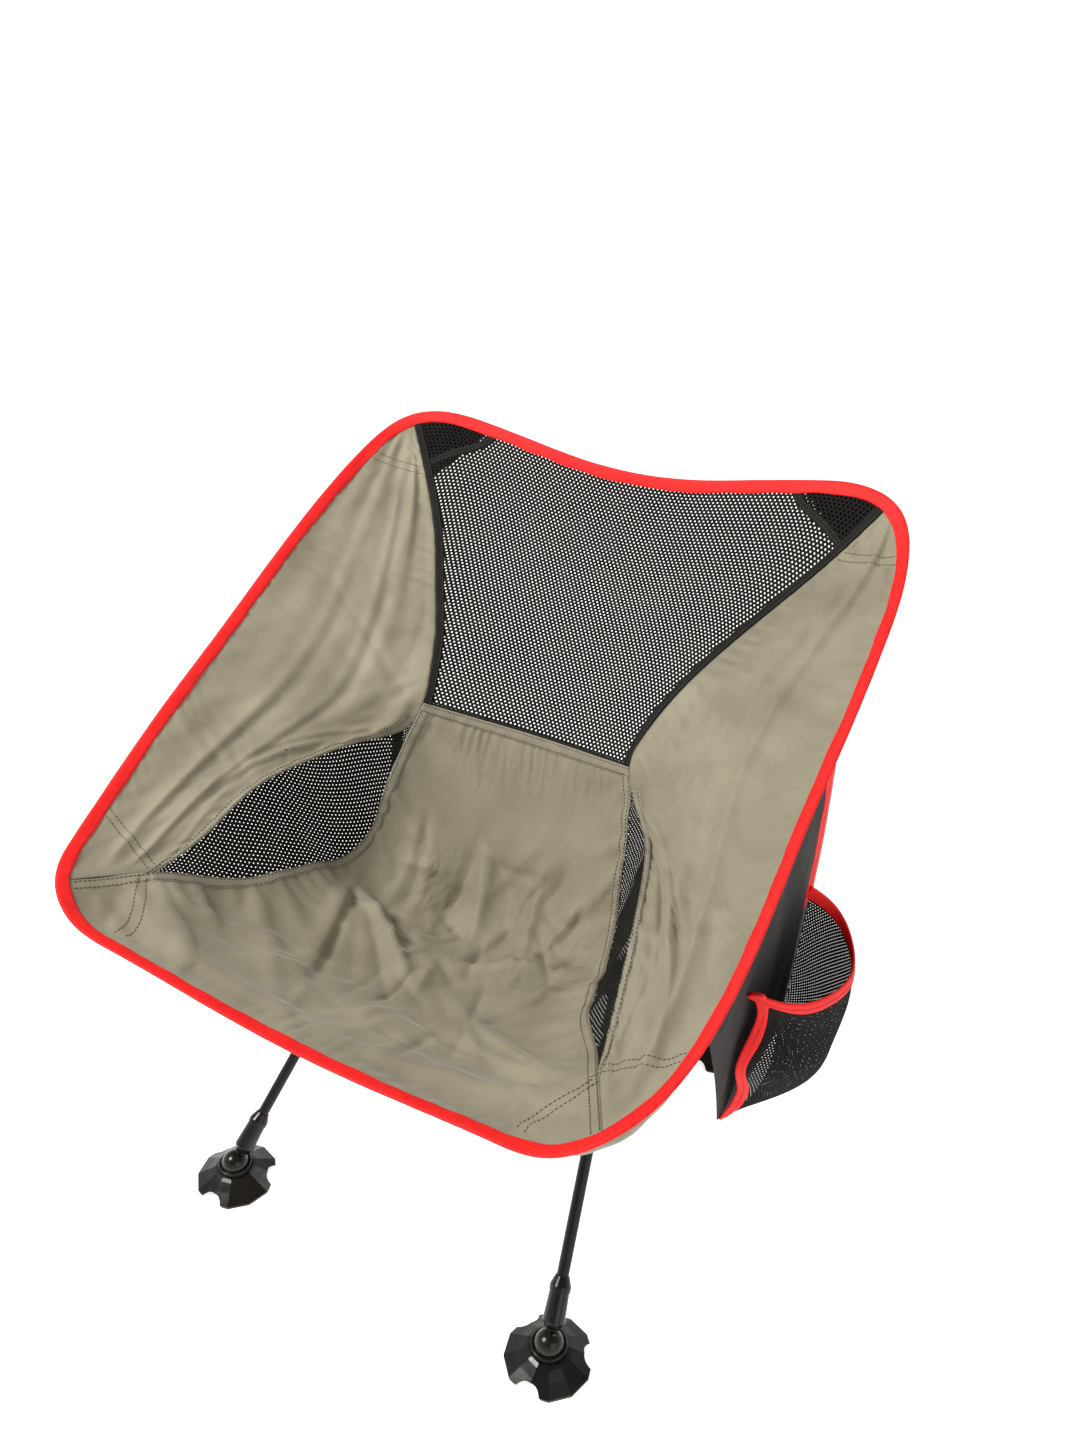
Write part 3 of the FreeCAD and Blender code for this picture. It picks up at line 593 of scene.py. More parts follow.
# ------------ folded binding tape
# Half of its section, from the cloth round to the fold: share of the width inward, and mm up.
BINDING_FACE = ((1.0, 0.75), (0.97, 1.05), (0.86, 1.2), (0.5, 1.12), (0.14, 1.25), (-0.03, 1.0), (-0.1, 0.45))
TAPE_STEP = 2.5 * MM


def binding_solid(edge, inward, normal, width, thickness, ripple, closed=False):
    """A tape folded over an edge, which is given at each point with its directions.

    Returns its points, faces and flat places. The closed one goes round the sling and hugs it.
    """
    section = np.array(BINDING_FACE + tuple((i, -n) for i, n in reversed(BINDING_FACE)))
    lengths = line_lengths(edge)
    wave = np.sin(lengths / (9 * MM) + 2.0 * np.sin(lengths / (37 * MM)))
    wide = width * (1 + 0.35 * ripple * wave)
    rise = thickness * MM * (1 + 0.4 * ripple * np.sin(lengths / (5 * MM) + 3 * np.sin(lengths / (23 * MM))))
    across = section[:, 0] * wide[:, None]
    ring = edge[:, None] + inward[:, None] * across[..., None]
    if closed:
        ring = hugged(ring, normal, section[:, 0])
    ring = ring + normal[:, None] * (section[None, :, 1:] * rise[:, None, None])
    flat = np.stack([lengths[:, None] + 0 * across, across], -1)
    return ring.reshape(-1, 3), tube_faces(*ring.shape[:2], closed), flat.reshape(-1, 2)


def closed_smooth(values, reach):
    """Values round a closed line, averaged over reach neighbours to each side."""
    weights = np.hanning(2 * reach + 3)[1:-1]
    around = np.concatenate([values[-reach:], values, values[:reach]])
    mean = np.stack([np.convolve(around[:, k], weights, "valid") for k in range(values.shape[1])], -1)
    return mean / weights.sum()


# ------------ materials
def material(name, colour, roughness, **sockets):
    """A material with a Principled shader. Returns it with its nodes."""
    made = bpy.data.materials.new(name)
    made.use_nodes = True
    shader = made.node_tree.nodes["Principled BSDF"]
    shader.inputs["Base Color"].default_value = (*colour, 1)
    shader.inputs["Roughness"].default_value = roughness
    for socket, value in sockets.items():
        shader.inputs[socket.replace("_", " ")].default_value = value
    return made, made.node_tree, shader


def add(tree, kind, **values):
    node = tree.nodes.new(kind)
    for key, value in values.items():
        if key in node.bl_rna.properties:
            setattr(node, key, value)
        else:
            node.inputs[key.replace("_", " ")].default_value = value
    return node


def cloth_place(tree):
    """The point's place in the flat cloth, in metres."""
    return add(tree, "ShaderNodeAttribute", attribute_name="flat").outputs["Vector"]


def object_place(tree):
    return add(tree, "ShaderNodeTexCoord").outputs["Object"]


def noise(tree, place, scale, detail=3.0):
    node = add(tree, "ShaderNodeTexNoise", Scale=scale, Detail=detail, Roughness=0.55)
    tree.links.new(place, node.inputs["Vector"])
    return node.outputs["Fac"]


def bands(tree, place, pitch, direction, distortion=0.0):
    """Soft ridges at a pitch, in metres, across X, Y or the diagonal."""
    node = add(tree, "ShaderNodeTexWave", wave_type="BANDS", bands_direction=direction,
               Scale=math.pi / 10 / pitch, Distortion=distortion, Detail=1.0)
    tree.links.new(place, node.inputs["Vector"])
    return node.outputs["Fac"]


def mixed(tree, kind, a, b):
    """a and b combined. Each is an output or a number."""
    node = add(tree, "ShaderNodeMath", operation=kind)
    for socket, value in zip(node.inputs, (a, b)):
        if isinstance(value, (int, float)):
            socket.default_value = value
        else:
            tree.links.new(value, socket)
    return node.outputs[0]


def weighed(tree, a, b, share):
    """The average of a and b, with a given share of a."""
    return mixed(tree, "ADD", mixed(tree, "MULTIPLY", a, share), mixed(tree, "MULTIPLY", b, 1 - share))


def tint(tree, shader, source, low, high, start=0.3, end=0.7):
    """Colours the material from low to high, by a value from start to end."""
    node = add(tree, "ShaderNodeValToRGB")
    node.color_ramp.elements[0].position = start
    node.color_ramp.elements[0].color = (*low, 1)
    node.color_ramp.elements[1].position = end
    node.color_ramp.elements[1].color = (*high, 1)
    tree.links.new(source, node.inputs["Fac"])
    tree.links.new(node.outputs["Color"], shader.inputs["Base Color"])


def bump(tree, shader, height, strength, distance, before=None):
    node = add(tree, "ShaderNodeBump", Strength=strength, Distance=distance)
    tree.links.new(height, node.inputs["Height"])
    if before is not None:
        tree.links.new(before, node.inputs["Normal"])
    tree.links.new(node.outputs["Normal"], shader.inputs["Normal"])
    return node.outputs["Normal"]


def rubbed(tree, shader, source, low, high):
    """Makes the material's roughness go from low to high with a value."""
    tree.links.new(spread_value(tree, source, low, high), shader.inputs["Roughness"])


def spread_value(tree, source, low, high, start=0.0, end=1.0):
    """A value from low to high, by the source's from start to end."""
    node = add(tree, "ShaderNodeMapRange", From_Min=start, From_Max=end, To_Min=low, To_Max=high)
    tree.links.new(source, node.inputs["Value"])
    return node.outputs["Result"]


def woven(name, dark, light, roughness=0.62, sheen=0.25):
    """Plain-woven nylon: a fine weave, slubs in its threads, and faint shade differences."""
    made, tree, shader = material(name, light, roughness, Sheen_Weight=sheen, Sheen_Roughness=0.45,
                                  Specular_IOR_Level=0.35)
    place = cloth_place(tree)
    weave = mixed(tree, "MAXIMUM", *(bands(tree, place, THREAD, way, 0.4) for way in "XY"))
    cloudy = noise(tree, object_place(tree), 14, 4)
    slub = noise(tree, place, 700, 2)
    shade = weighed(tree, cloudy, slub, 0.75)
    tint(tree, shader, shade, dark, light, 0.36, 0.64)
    rubbed(tree, shader, slub, roughness - 0.08, roughness + 0.08)
    crumple = bump(tree, shader, noise(tree, object_place(tree), 55, 3), 0.35, 2.2 * MM)
    bump(tree, shader, weave, 0.3, 0.12 * MM, crumple)
    return made


def ribbed(name, dark, light, pitch, roughness, gloss=0.35):
    """Woven tape: ribs across its length, with rubbed and darker places."""
    made, tree, shader = material(name, light, roughness, Specular_IOR_Level=gloss)
    place = cloth_place(tree)
    ribs = bands(tree, place, pitch, "X", 0.3)
    cloudy = noise(tree, place, 90, 3)
    shade = weighed(tree, cloudy, ribs, 0.7)
    tint(tree, shader, shade, dark, light, 0.3, 0.62)
    rubbed(tree, shader, cloudy, roughness - 0.1, roughness + 0.1)
    soft = bump(tree, shader, noise(tree, place, 160, 2), 0.3, 0.8 * MM)
    bump(tree, shader, ribs, 0.35, 0.1 * MM, soft)
    return made


def knitted(name, dark, light):
    """The yarn of a net: soft black polyester."""
    made, tree, shader = material(name, light, 0.75, Specular_IOR_Level=0.15)
    place = object_place(tree)
    tint(tree, shader, noise(tree, place, 25, 3), dark, light)
    bump(tree, shader, noise(tree, place, 900, 2), 0.4, 0.15 * MM)
    return made


def moulded(name, dark, light, roughness, grain, edge=0.5 * MM):
    """Injection-moulded plastic, with rounded edges, a fine grain and faint scuffs."""
    made, tree, shader = material(name, light, roughness, Specular_IOR_Level=0.3)
    place = object_place(tree)
    cloudy = noise(tree, place, 60, 4)
    tint(tree, shader, cloudy, dark, light)
    rubbed(tree, shader, noise(tree, place, 130, 5), roughness - 0.08, roughness + 0.16)
    rounded = add(tree, "ShaderNodeBevel", samples=4, Radius=edge)
    bump(tree, shader, noise(tree, place, 420, 3), grain, 0.2 * MM, rounded.outputs["Normal"])
    return made


def painted_tube(name):
    """Satin black anodised tube, with long fine draw lines and small rubs."""
    made, tree, shader = material(name, (0.006, 0.006, 0.0065), 0.34, Specular_IOR_Level=0.22,
                                  Coat_Weight=0.06, Coat_Roughness=0.25)
    place = object_place(tree)
    rubs = noise(tree, place, 75, 5)
    tint(tree, shader, rubs, (0.002, 0.002, 0.0022), (0.006, 0.0058, 0.0056), 0.4, 0.75)
    rubbed(tree, shader, rubs, 0.26, 0.48)
    bump(tree, shader, noise(tree, place, 1300, 2), 0.12, 0.05 * MM)
    return made


def metal(name, colour, roughness):
    made, tree, shader = material(name, colour, roughness, Metallic=1.0)
    rubs = noise(tree, object_place(tree), 240, 4)
    rubbed(tree, shader, rubs, roughness - 0.1, roughness + 0.15)
    bump(tree, shader, noise(tree, object_place(tree), 1500, 2), 0.15, 0.05 * MM)
    return made


def elastic(name):
    """The braided cover of a shock cord."""
    made, tree, shader = material(name, (0.03, 0.03, 0.03), 0.7, Sheen_Weight=0.2)
    place = object_place(tree)
    braid = bands(tree, place, 1.2 * MM, "DIAGONAL", 1.0)
    tint(tree, shader, braid, (0.012, 0.012, 0.013), (0.06, 0.06, 0.06))
    bump(tree, shader, braid, 0.5, 0.2 * MM)
    return made


THREAD = 0.62 * MM           # the pitch of the woven cloths' threads
khaki = woven("khaki_nylon", (0.182, 0.164, 0.112), (0.252, 0.229, 0.16))
khaki_tape = ribbed("khaki_hem", (0.175, 0.158, 0.114), (0.24, 0.219, 0.162), 0.9 * MM, 0.62)
# khaki darkened as painted shade, for the front corner pockets that lie in the seat's shadow
khaki_shade = woven("khaki_painted_shade", (0.15, 0.135, 0.092), (0.21, 0.19, 0.133))
# Near-black cloth: the back corner pockets' cloth, and painted shade on the bottle pocket's back, which
# stands for khaki lying in deep shadow
near_black_and_shade = woven("near_black_and_painted_shade", (0.004, 0.0036, 0.003), (0.009, 0.008, 0.007), 0.8, 0.0)
red_tape = ribbed("red_binding", (0.58, 0.008, 0.008), (0.8, 0.014, 0.013), 0.8 * MM, 0.6, 0.2)
black_tape = ribbed("black_tape", (0.005, 0.0045, 0.004), (0.013, 0.012, 0.01), 0.9 * MM, 0.75, 0.15)
yarn = knitted("black_yarn", (0.004, 0.0035, 0.003), (0.01, 0.009, 0.007))
thread_dark = material("dark_thread", (0.055, 0.048, 0.034), 0.55)[0]
thread_red = material("red_thread", (0.5, 0.01, 0.009), 0.6)[0]
thread_black = material("black_thread", (0.03, 0.028, 0.024), 0.6)[0]
hub_plastic = moulded("hub_plastic", (0.006, 0.006, 0.006), (0.014, 0.0135, 0.013), 0.4, 0.15)
foot_plastic = moulded("foot_plastic", (0.0025, 0.002, 0.0015), (0.007, 0.0055, 0.004), 0.2, 0.05, 0.7 * MM)
tube_black = painted_tube("black_tube")
ferrule_metal = metal("ferrule_metal", (0.75, 0.75, 0.77), 0.28)
rivet_steel = metal("rivet_steel", (0.55, 0.55, 0.57), 0.3)
cord_cover = elastic("shock_cord")


# What each finish goes on, without _left or _right.
FINISHES = {
    tube_black: ("crossbar", "seat_pole", "back_pole_lower", "back_pole_upper", "front_leg", "rear_leg"),
    hub_plastic: ("hub", "hub_cap", "seat_pole_tip", "back_pole_tip"),
    rivet_steel: ("hub_rivets",),
    ferrule_metal: ("back_pole_ferrule",),
    cord_cover: ("leg_cord", "pole_cord", "front_cord_anchor", "rear_cord_anchor"),
    foot_plastic: tuple(f"{end}_{part}" for end in ("front", "rear") for part in ("boot", "cup_ring", "pad"))}


def dress_frame():
    """Better finishes on the CAD nodes whose shapes stay."""
    finishes = {name: finish for finish, names in FINISHES.items() for name in names}
    for name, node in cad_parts.items():
        finish = finishes.get(name.removesuffix("_left").removesuffix("_right"))
        if finish:
            node.data.materials.clear()
            node.data.materials.append(finish)


# ------------ the sling's panels
SEAT_SIDE_MM = CORNER_SEAM + GUSSET_BOTTOM[1:] + [SEAT_CORNER]
SIDE_TIP = 0.985             # the side panel's sewn tip, as a share of its length
GUSSET_SHARE = 0.45          # the part of the side panel's inner edge that is the gusset's top


def mirror_panel(panel):
    """The panel on the sling's other side, with its normals kept towards the sitter."""
    flip = np.array([-1.0, 1.0, 1.0])
    return Panel(panel.points * flip, normals=panel.normals * flip)


# Folds in the flat seat: start and aim (across from the middle, back from the front edge), the
# aim's spread, how many, and their height and width. All lengths in mm.
SEAT_FANS = (((-128, 250), (-45, 165), 45, 5, 5.0, 6), ((-128, 250), (-70, 120), 35, 4, 4.0, 6),
             ((-205, 75), (-40, 140), 40, 5, 4.5, 9), ((-215, 60), (40, 60), 35, 4, 6.0, 17),
             ((205, 75), (40, 130), 45, 6, 4.5, 7), ((215, 60), (-20, 45), 30, 3, 5.0, 15),
             ((130, 250), (30, 170), 50, 6, 4.5, 7), ((-85, 335), (-80, 215), 18, 3, 5.0, 9),
             ((-25, 335), (-25, 225), 30, 4, 4.0, 9), ((45, 330), (35, 215), 30, 5, 4.0, 7),
             ((95, 310), (60, 220), 25, 4, 4.5, 7), ((-160, 150), (-20, 40), 40, 3, 3.5, 12))
# The same for a side panel: along it from its middle, and out from its inner edge.
SIDE_FANS = (((-30, 6), (-190, 95), 40, 6, 2.6, 8), ((-20, 10), (60, 115), 35, 4, 2.4, 10),
             ((-270, 70), (200, 62), 18, 3, 4.2, 12), ((-240, 115), (240, 112), 16, 3, 3.8, 11),
             ((-290, 25), (-130, 70), 20, 3, 2.2, 9), ((90, 12), (-60, 60), 25, 4, 2.2, 9),
             ((250, 30), (60, 60), 20, 3, 2.4, 10))


def edge_weight(gap, reach):
    """1 on an edge, dying out away from it, by the gap to it and a reach in mm."""
    return np.exp(-(gap / (reach * MM)) ** 2)


def side_gap(flat):
    """The distance from each point of a flat panel to the nearer of its u edges."""
    return np.minimum(flat[-1:, :, 0] - flat[..., 0], flat[..., 0] - flat[:1, :, 0])


def seat_wrinkles(panel):
    """The seat's slack: folds from its corners, a crumpled middle, and puckered, lifted hems."""
    flat = panel.flat()
    u, v = np.linspace(0, 1, flat.shape[0])[:, None], np.linspace(0, 1, flat.shape[1])[None]
    push = fans(flat, SEAT_FANS, 4) + crumples(flat, (-105, 50), (105, 265), 50, 3.4, 5.5, 9)
    push = push + crumples(flat, (-85, 215), (95, 325), 20, 3.6, 6.5, 15)
    push = push + waves(flat, 110 * MM, 1.35, 0.25, 5, 21) * 2.6 * MM * (1 - v) ** 0.5
    push = push * edge_fade(push.shape, 0.07, 0.06)
    along_gusset = np.clip((v - 0.2) / 0.1, 0, 1) * np.clip((0.95 - v) / 0.06, 0, 1)
    gap = side_gap(flat)
    lifts = 1.6 + 1.5 * np.sin(v * 36 + 2.3 * np.sin(v * 13) + (u > 0.5) * 1.9)
    puckers = np.sin(v * 285 + 3 * np.sin(v * 41)) * 0.55 * np.clip((v - 0.6) / 0.2, 0.15, 1)
    push = push + lifts * MM * along_gusset * np.exp(-gap / (16 * MM))
    push = push + puckers * MM * along_gusset * edge_weight(gap, 13)
    back_gap = (1 - v) * panel.depth(u[:, 0])[:, None]
    gathers = np.sin(u * 120 + 3 * np.sin(u * 23)) * 0.7 * edge_weight(back_gap, 30)
    return pushed(panel, push + gathers * MM * edge_fade(push.shape, 0.05, 0.02))


def side_wrinkles(panel, seed):
    """Long tension folds from corner to corner, fans from the seat's corner, and small puckers."""
    flat = panel.flat()
    push = fans(flat, SIDE_FANS, seed) + waves(flat, 60 * MM, math.pi / 2, 0.14, 5, seed) * 1.2 * MM
    push = push + waves(flat, 34 * MM, 0.7, 0.6, 8, seed + 1) * 0.45 * MM
    push = push * edge_fade(push.shape, 0.07, 0.10)
    v = np.linspace(0, 1, flat.shape[1])[None]
    inner_gap = v * panel.depth(np.linspace(0, 1, flat.shape[0]))[:, None]
    puckers = np.sin(flat[..., 0] / (2.6 * MM) + 3 * np.sin(flat[..., 0] / (19 * MM)))
    puckers = puckers * 0.35 * MM * edge_weight(inner_gap, 15)
    return pushed(panel, push + puckers * edge_fade(push.shape, 0.05, 0.02))


def line_length(points_mm):
    return line_lengths(line_samples(points_mm))[-1]


def gusset_panel(side, seat, seat_edge):
    """The net between the side panel's inner edge and the seat's edge, tucked under both."""
    top_end = line_length(GUSSET_TOP + [SEAT_CORNER]) / line_length(GUSSET_TOP + MESH_SIDE) / SIDE_TIP
    tip = line_length(CORNER_SEAM) / line_length(SEAT_SIDE_MM)
    tuck = -0.8 * MM

    def between(u, v):
        across = np.clip(v, 0, 1)[..., None]
        under_side, under_seat = np.maximum(-v, 0) * 0.6, np.maximum(v - 1, 0) * 0.2
        top = side.at(u * top_end, under_side, tuck)
        bottom = seat.at(seat_edge + (1 - 2 * seat_edge) * under_seat, tip + u * (1 - tip), tuck)
        return top * (1 - across) + bottom * across
    return panel_on(between, 90, 30, SITTER, us=(0.004, 0.99), vs=(-0.05, 1.06))


def started(panel, height, seed):
    """The panel with faint uneven waves, which the simulation builds on."""
    return rippled(panel, 60, 0.9, 1.3, 14, height, seed)


# How much larger each cloth is cut, how long it settles, how far it may move, and how stiff it is.
SEAT_SLACK = {"growth": 0.035, "frames": 26, "most": 12 * MM, "stiffness": 0.06}
SIDE_SLACK = {"growth": 0.014, "frames": 18, "most": 7 * MM, "stiffness": 0.1}
SEAT_GRID, SIDE_GRID, BACK_GRID = (97, 73), (121, 33), (81, 61)


def make_panels():
    """Every panel's surface, with its folds; the seat and the side panels settled by the simulation."""
    seat_side = curve(SEAT_SIDE_MM)
    seat_side_mirrored = curve(mirrored(SEAT_SIDE_MM))
    seat = panel_on(coons(rim_part(-FRONT_KNOT, FRONT_KNOT), whole_width(SEAT_BACK),
                          seat_side_mirrored, seat_side, (0, 0, -SEAT_SAG)), *SEAT_GRID, SITTER)
    side = panel_on(ruled(curve(GUSSET_TOP + MESH_SIDE), rim_part(FRONT_KNOT, BACK_KNOT)),
                    *SIDE_GRID, SITTER, us=(0, SIDE_TIP))
    back = panel_on(coons(whole_width(SEAT_BACK), rim_part(BACK_KNOT_RIGHT, BACK_KNOT),
                          curve(mirrored(MESH_SIDE)), curve(MESH_SIDE), (0, BACK_BELLY, 0)),
                    *BACK_GRID, SITTER)
    left, right = started(side, 0.8, 5), started(side, 0.8, 12)
    seat = settled(started(seat, 1.2, 8), **SEAT_SLACK)
    left, right = settled(left, **SIDE_SLACK), settled(right, **SIDE_SLACK)
    seat, left = seat_wrinkles(finer(seat, 2)), side_wrinkles(finer(left, 2), 5)
    right = mirror_panel(side_wrinkles(finer(right, 2), 12))
    return {"seat": seat, "left": left, "right": right, "back": finer(back, 2),
            "gusset_left": gusset_panel(left, seat, 1.0), "gusset_right": gusset_panel(right, seat, 0.0)}


panels = make_panels()
hems, tapes, binding, pocket_tape = (Parts() for _ in range(4))
dark_rows, red_rows, black_rows = (Parts() for _ in range(3))


# ------------ hems and seams
HEM = 0.7 * MM
HEM_RIPPLE = 0.12 * MM
HEM_ROWS = (2.0 * MM, 8.0 * MM)      # two rows of stitches, from the hem's edge
CORNER_ROWS = (2.2 * MM, 8.0 * MM)
POCKET_ROWS = (2.5 * MM, 6.0 * MM)
SEAM_TAPE = (-0.5 * MM, 8.0 * MM)    # where a mesh seam's tape lies, from the panel's edge
SEAM_TAPE_ROWS = (1.4 * MM, 6.4 * MM)


def hem_edge(panel, us):
    """A khaki hem with two rows of stitches along the panel's edge at v = 0."""
    add_strip(hems, panel, 0.2 * MM, HEM_WIDTH, HEM, us, ripple=HEM_RIPPLE)
    for away in HEM_ROWS:
        stitch_edge(dark_rows, panel, away, STITCH_LIFT + HEM, us)


def make_hems():
    for name in ("left", "right"):
        hem_edge(panels[name], (0.0, GUSSET_SHARE / SIDE_TIP))
    across = panels["seat"].turned()
    hem_edge(across, (0.17, 0.985))
    hem_edge(across.flipped(), (0.17, 0.985))
    hem_edge(panels["seat"].flipped(), (0.0, 1.0))


def corner_rows(panel, start, bend, end, shift):
    """Two rows of stitches on an arc across a corner, given in u and v; the second one shifted."""
    t = np.linspace(0, 1, 60)[:, None]
    arc = (1 - t) ** 2 * np.array(start) + 2 * t * (1 - t) * np.array(bend) + t ** 2 * np.array(end)
    for line in (arc, arc + shift):
        stitch_line(dark_rows, panel, *line.T)


def make_corner_rows():
    for name in ("left", "right"):
        corner_rows(panels[name], (0.135, 0.95), (0.05, 0.45), (0.0, 0.07), (0.012, 0.0))
        corner_rows(panels[name], (0.905, 0.05), (0.9, 0.6), (0.9, 0.93), (0.014, 0.0))
    corner_rows(panels["seat"], (0.115, 0.045), (0.09, 0.12), (0.0, 0.15), (0.012, 0.012))
    corner_rows(panels["seat"], (0.885, 0.045), (0.91, 0.12), (1.0, 0.15), (-0.012, 0.012))
    across = panels["seat"].turned()
    for panel in (across, across.flipped()):
        for away in CORNER_ROWS:
            stitch_edge(dark_rows, panel, away, us=(0.03, 0.17))


def make_mesh_tapes():
    """Black tape along the seams of the back's net, narrow and on both faces at the seat."""
    for face in (1, -1):
        add_strip(tapes, panels["back"], -1.0 * MM, 2.2 * MM, 0.5 * MM, (0.01, 0.99), side=face)
    back = panels["back"].turned()
    for panel in (back, back.flipped()):
        add_strip(tapes, panel, *SEAM_TAPE, 1.0 * MM, (0.0, 0.975), ripple=0.1 * MM)
        add_strip(tapes, panel, *SEAM_TAPE, 0.8 * MM, (0.0, 0.975), side=-1)
        for away in SEAM_TAPE_ROWS:
            stitch_edge(black_rows, panel, away, STITCH_LIFT + 1.0 * MM, (0.0, 0.97))


# ------------ the red binding
def cloth_tree():
    """The seat, side and back panels as one surface that can be searched."""
    points, faces = [], []
    for name in ("seat", "left", "right", "back"):
        grid = panels[name].points
        faces += grid_faces(*grid.shape[:2], len(points)).tolist()
        points += grid.reshape(-1, 3).tolist()
    return BVHTree.FromPolygons(points, faces)


def rim_frame():
    """Round the rim: its points, the direction into the cloth and the cloth's normal."""
    steps = np.linspace(0, 1, 260)
    parts = []
    for panel, u, edge in ((panels["seat"], np.linspace(0.5, 1, 110), 0.0),
                           (panels["left"], steps, 1.0),
                           (panels["back"], np.linspace(1, 0, 220), 1.0),
                           (panels["right"], steps[::-1], 1.0),
                           (panels["seat"], np.linspace(0, 0.5, 110), 0.0)):
        v = np.full_like(u, edge)
        parts.append((panel.at(u, v), panel.normal(u, v)))
    points, normal = (np.vstack([p[k] for p in parts]) for k in range(2))
    lengths = line_lengths(points)
    where = np.linspace(0, lengths[-1], int(lengths[-1] / TAPE_STEP))[:-1]
    points, normal = read_along(where, lengths, points), read_along(where, lengths, normal)
    points, normal = closed_smooth(points, 3), unit(closed_smooth(normal, 14))
    tangent = unit(np.roll(points, -1, 0) - np.roll(points, 1, 0))
    inward = unit(np.cross(normal, tangent))
    return points, inward, unit(np.cross(tangent, inward))


def hugged(ring, normal, shares):
    """The binding's rings, with the parts over the cloth moved to follow its surface."""
    tree = cloth_tree()
    moved = ring.copy()
    for column, share in enumerate(shares):
        if share < 0.1:
            continue
        heights = []
        for point, up in zip(ring[:, column], normal):
            nearest = tree.find_nearest(point)[0]
            heights.append(float((np.array(nearest) - point) @ up))
        moved[:, column] += normal * closed_smooth(np.array(heights)[:, None], 2)
    return moved


def make_binding():
    """The red tape folded round the sling's rim, with a row of stitches on each face."""
    points, inward, normal = rim_frame()
    binding.add(*binding_solid(points, inward, normal, BINDING_WIDTH, 1.2, 0.12, closed=True))
    row = points + inward * (BINDING_WIDTH - 2.0 * MM)
    row = hugged(row[:, None], normal, [1.0])[:, 0]
    for side in (1, -1):
        place = row + normal * side * 1.4 * MM
        add_stitches(red_rows, np.vstack([place, place[:1]]), np.vstack([normal, normal[:1]]) * side)


# ------------ corner pockets
# A corner pocket's open edge hangs through three points, in mm, and its cloth bulges by so much.
# The side panel's u, and the end panel's u and v, say where its sewn edges run on the sling.
CORNER_POCKETS = {
    "front": (((249, -177, 366), (218, -188, 329), (197, -220, 334)), (8, -2, -9),
              (0.16, 0.012), (0.985, 0.85), 0.02),
    "back": (((258, 217, 590), (233, 240, 577), (197, 255, 601)), (7, 12, -9),
             (0.905, 0.992), (0.98, 0.835), 0.975)}
SEWN_LIFT = -0.85 * MM       # a pocket's sewn edge lies between the cloth and the binding


def pocket_surface(end, hand, open_edge, bulge, side_us, end_us, end_v):
    """The cloth of a corner pocket. hand is 1 on the sitter's left and -1 on the right."""
    side = panels["left" if hand > 0 else "right"]
    far = panels["seat" if end == "front" else "back"]
    side_line = side.at(np.linspace(*side_us, 60), 0.96, SEWN_LIFT)
    shares = np.linspace(*end_us, 60)
    end_line = far.at(shares if hand > 0 else 1 - shares, end_v, SEWN_LIFT)
    end_line = np.vstack([side_line[-1:], end_line])
    flip = np.array([hand, 1, 1])
    middle = [np.array(point) * flip for point in open_edge]
    hanging = line_samples([side_line[0] / MM, *middle, end_line[-1] / MM])
    return coons(by_length(side_line), by_length(hanging[2 * SPAN:]), by_length(hanging[:2 * SPAN + 1]),
                 by_length(end_line), np.array(bulge) * flip * MM)


def make_corner_pockets():
    for end, lines in CORNER_POCKETS.items():
        # The front pockets get the khaki darkened as painted shade.
        cloth, slot, rows = ((khaki_shade, "khaki_fabric", dark_rows) if end == "front"
                             else (near_black_and_shade, "black_tape", black_rows))
        for name, hand in (("left", 1), ("right", -1)):
            panel = panel_on(pocket_surface(end, hand, *lines), 44, 44,
                             toward=np.array([hand, 0.0, 0.3]))
            panel = rippled(panel, 30, 0.6, 0.8, 6, 0.9, 17, (0.15, 0.15))
            pocket = slab(f"{end}_corner_pocket_cloth_{name}", panel, cloth)
            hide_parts(f"{end}_corner_pocket_{name}")
            for edge in (panel.turned(), panel.flipped()):
                for away in POCKET_ROWS:
                    stitch_edge(rows, edge, away)


# ------------ the bottle pocket
def make_pocket():
    """The panels of the pocket's hanging back and of its bulging net."""
    hang = coons(curve(POCKET_HANG), curve(POCKET_FOOT), curve(POCKET_FRONT), curve(POCKET_REAR))
    back = rippled(panel_on(hang, 70, 80, toward=OUTSIDE), 60, 0.2, 0.4, 6, 1.4, 31, (0.12, 0.1))
    base = coons(curve(POUCH_RIM), curve(POUCH_FOOT), curve(POUCH_FRONT), curve(POUCH_REAR))

    def bulged(u, v):
        out = POUCH_BULGE * np.sin(math.pi * u) * v * (1 - v ** 4)
        return base(u, v) + out[..., None] * np.array([1.0, 0.0, 0.0])
    return back, panel_on(bulged, 90, 70, toward=OUTSIDE)


def tape_on_edge(panel, width, thickness, ripple, us=(0, 1)):
    """A folded red tape over the panel's edge at v = 0, with stitches on both faces."""
    count = max(int(panel.length() * (us[1] - us[0]) / TAPE_STEP), 8)
    u = np.linspace(*us, count)
    edge = panel.at(u, 0.0)
    inward = unit(panel.at(u, 0.04) - edge)
    tangent = unit(np.gradient(edge, axis=0))
    inward = unit(inward - tangent * (inward * tangent).sum(1)[:, None])
    normal = unit(np.cross(tangent, inward))
    normal *= np.sign((normal * panel.normal(u, 0 * u)).sum())
    pocket_tape.add(*binding_solid(edge, inward, normal, width, thickness, ripple))
    for side in (1, -1):
        row = edge + inward * (width * 0.55) + normal * side * 1.15 * MM * thickness
        add_stitches(red_rows, row, normal * side)


# ------------ the sling's pieces
PATCH = 0.19                 # a corner patch's reach, as a share of the back's width and height
PATCH_TAPE = 7 * MM


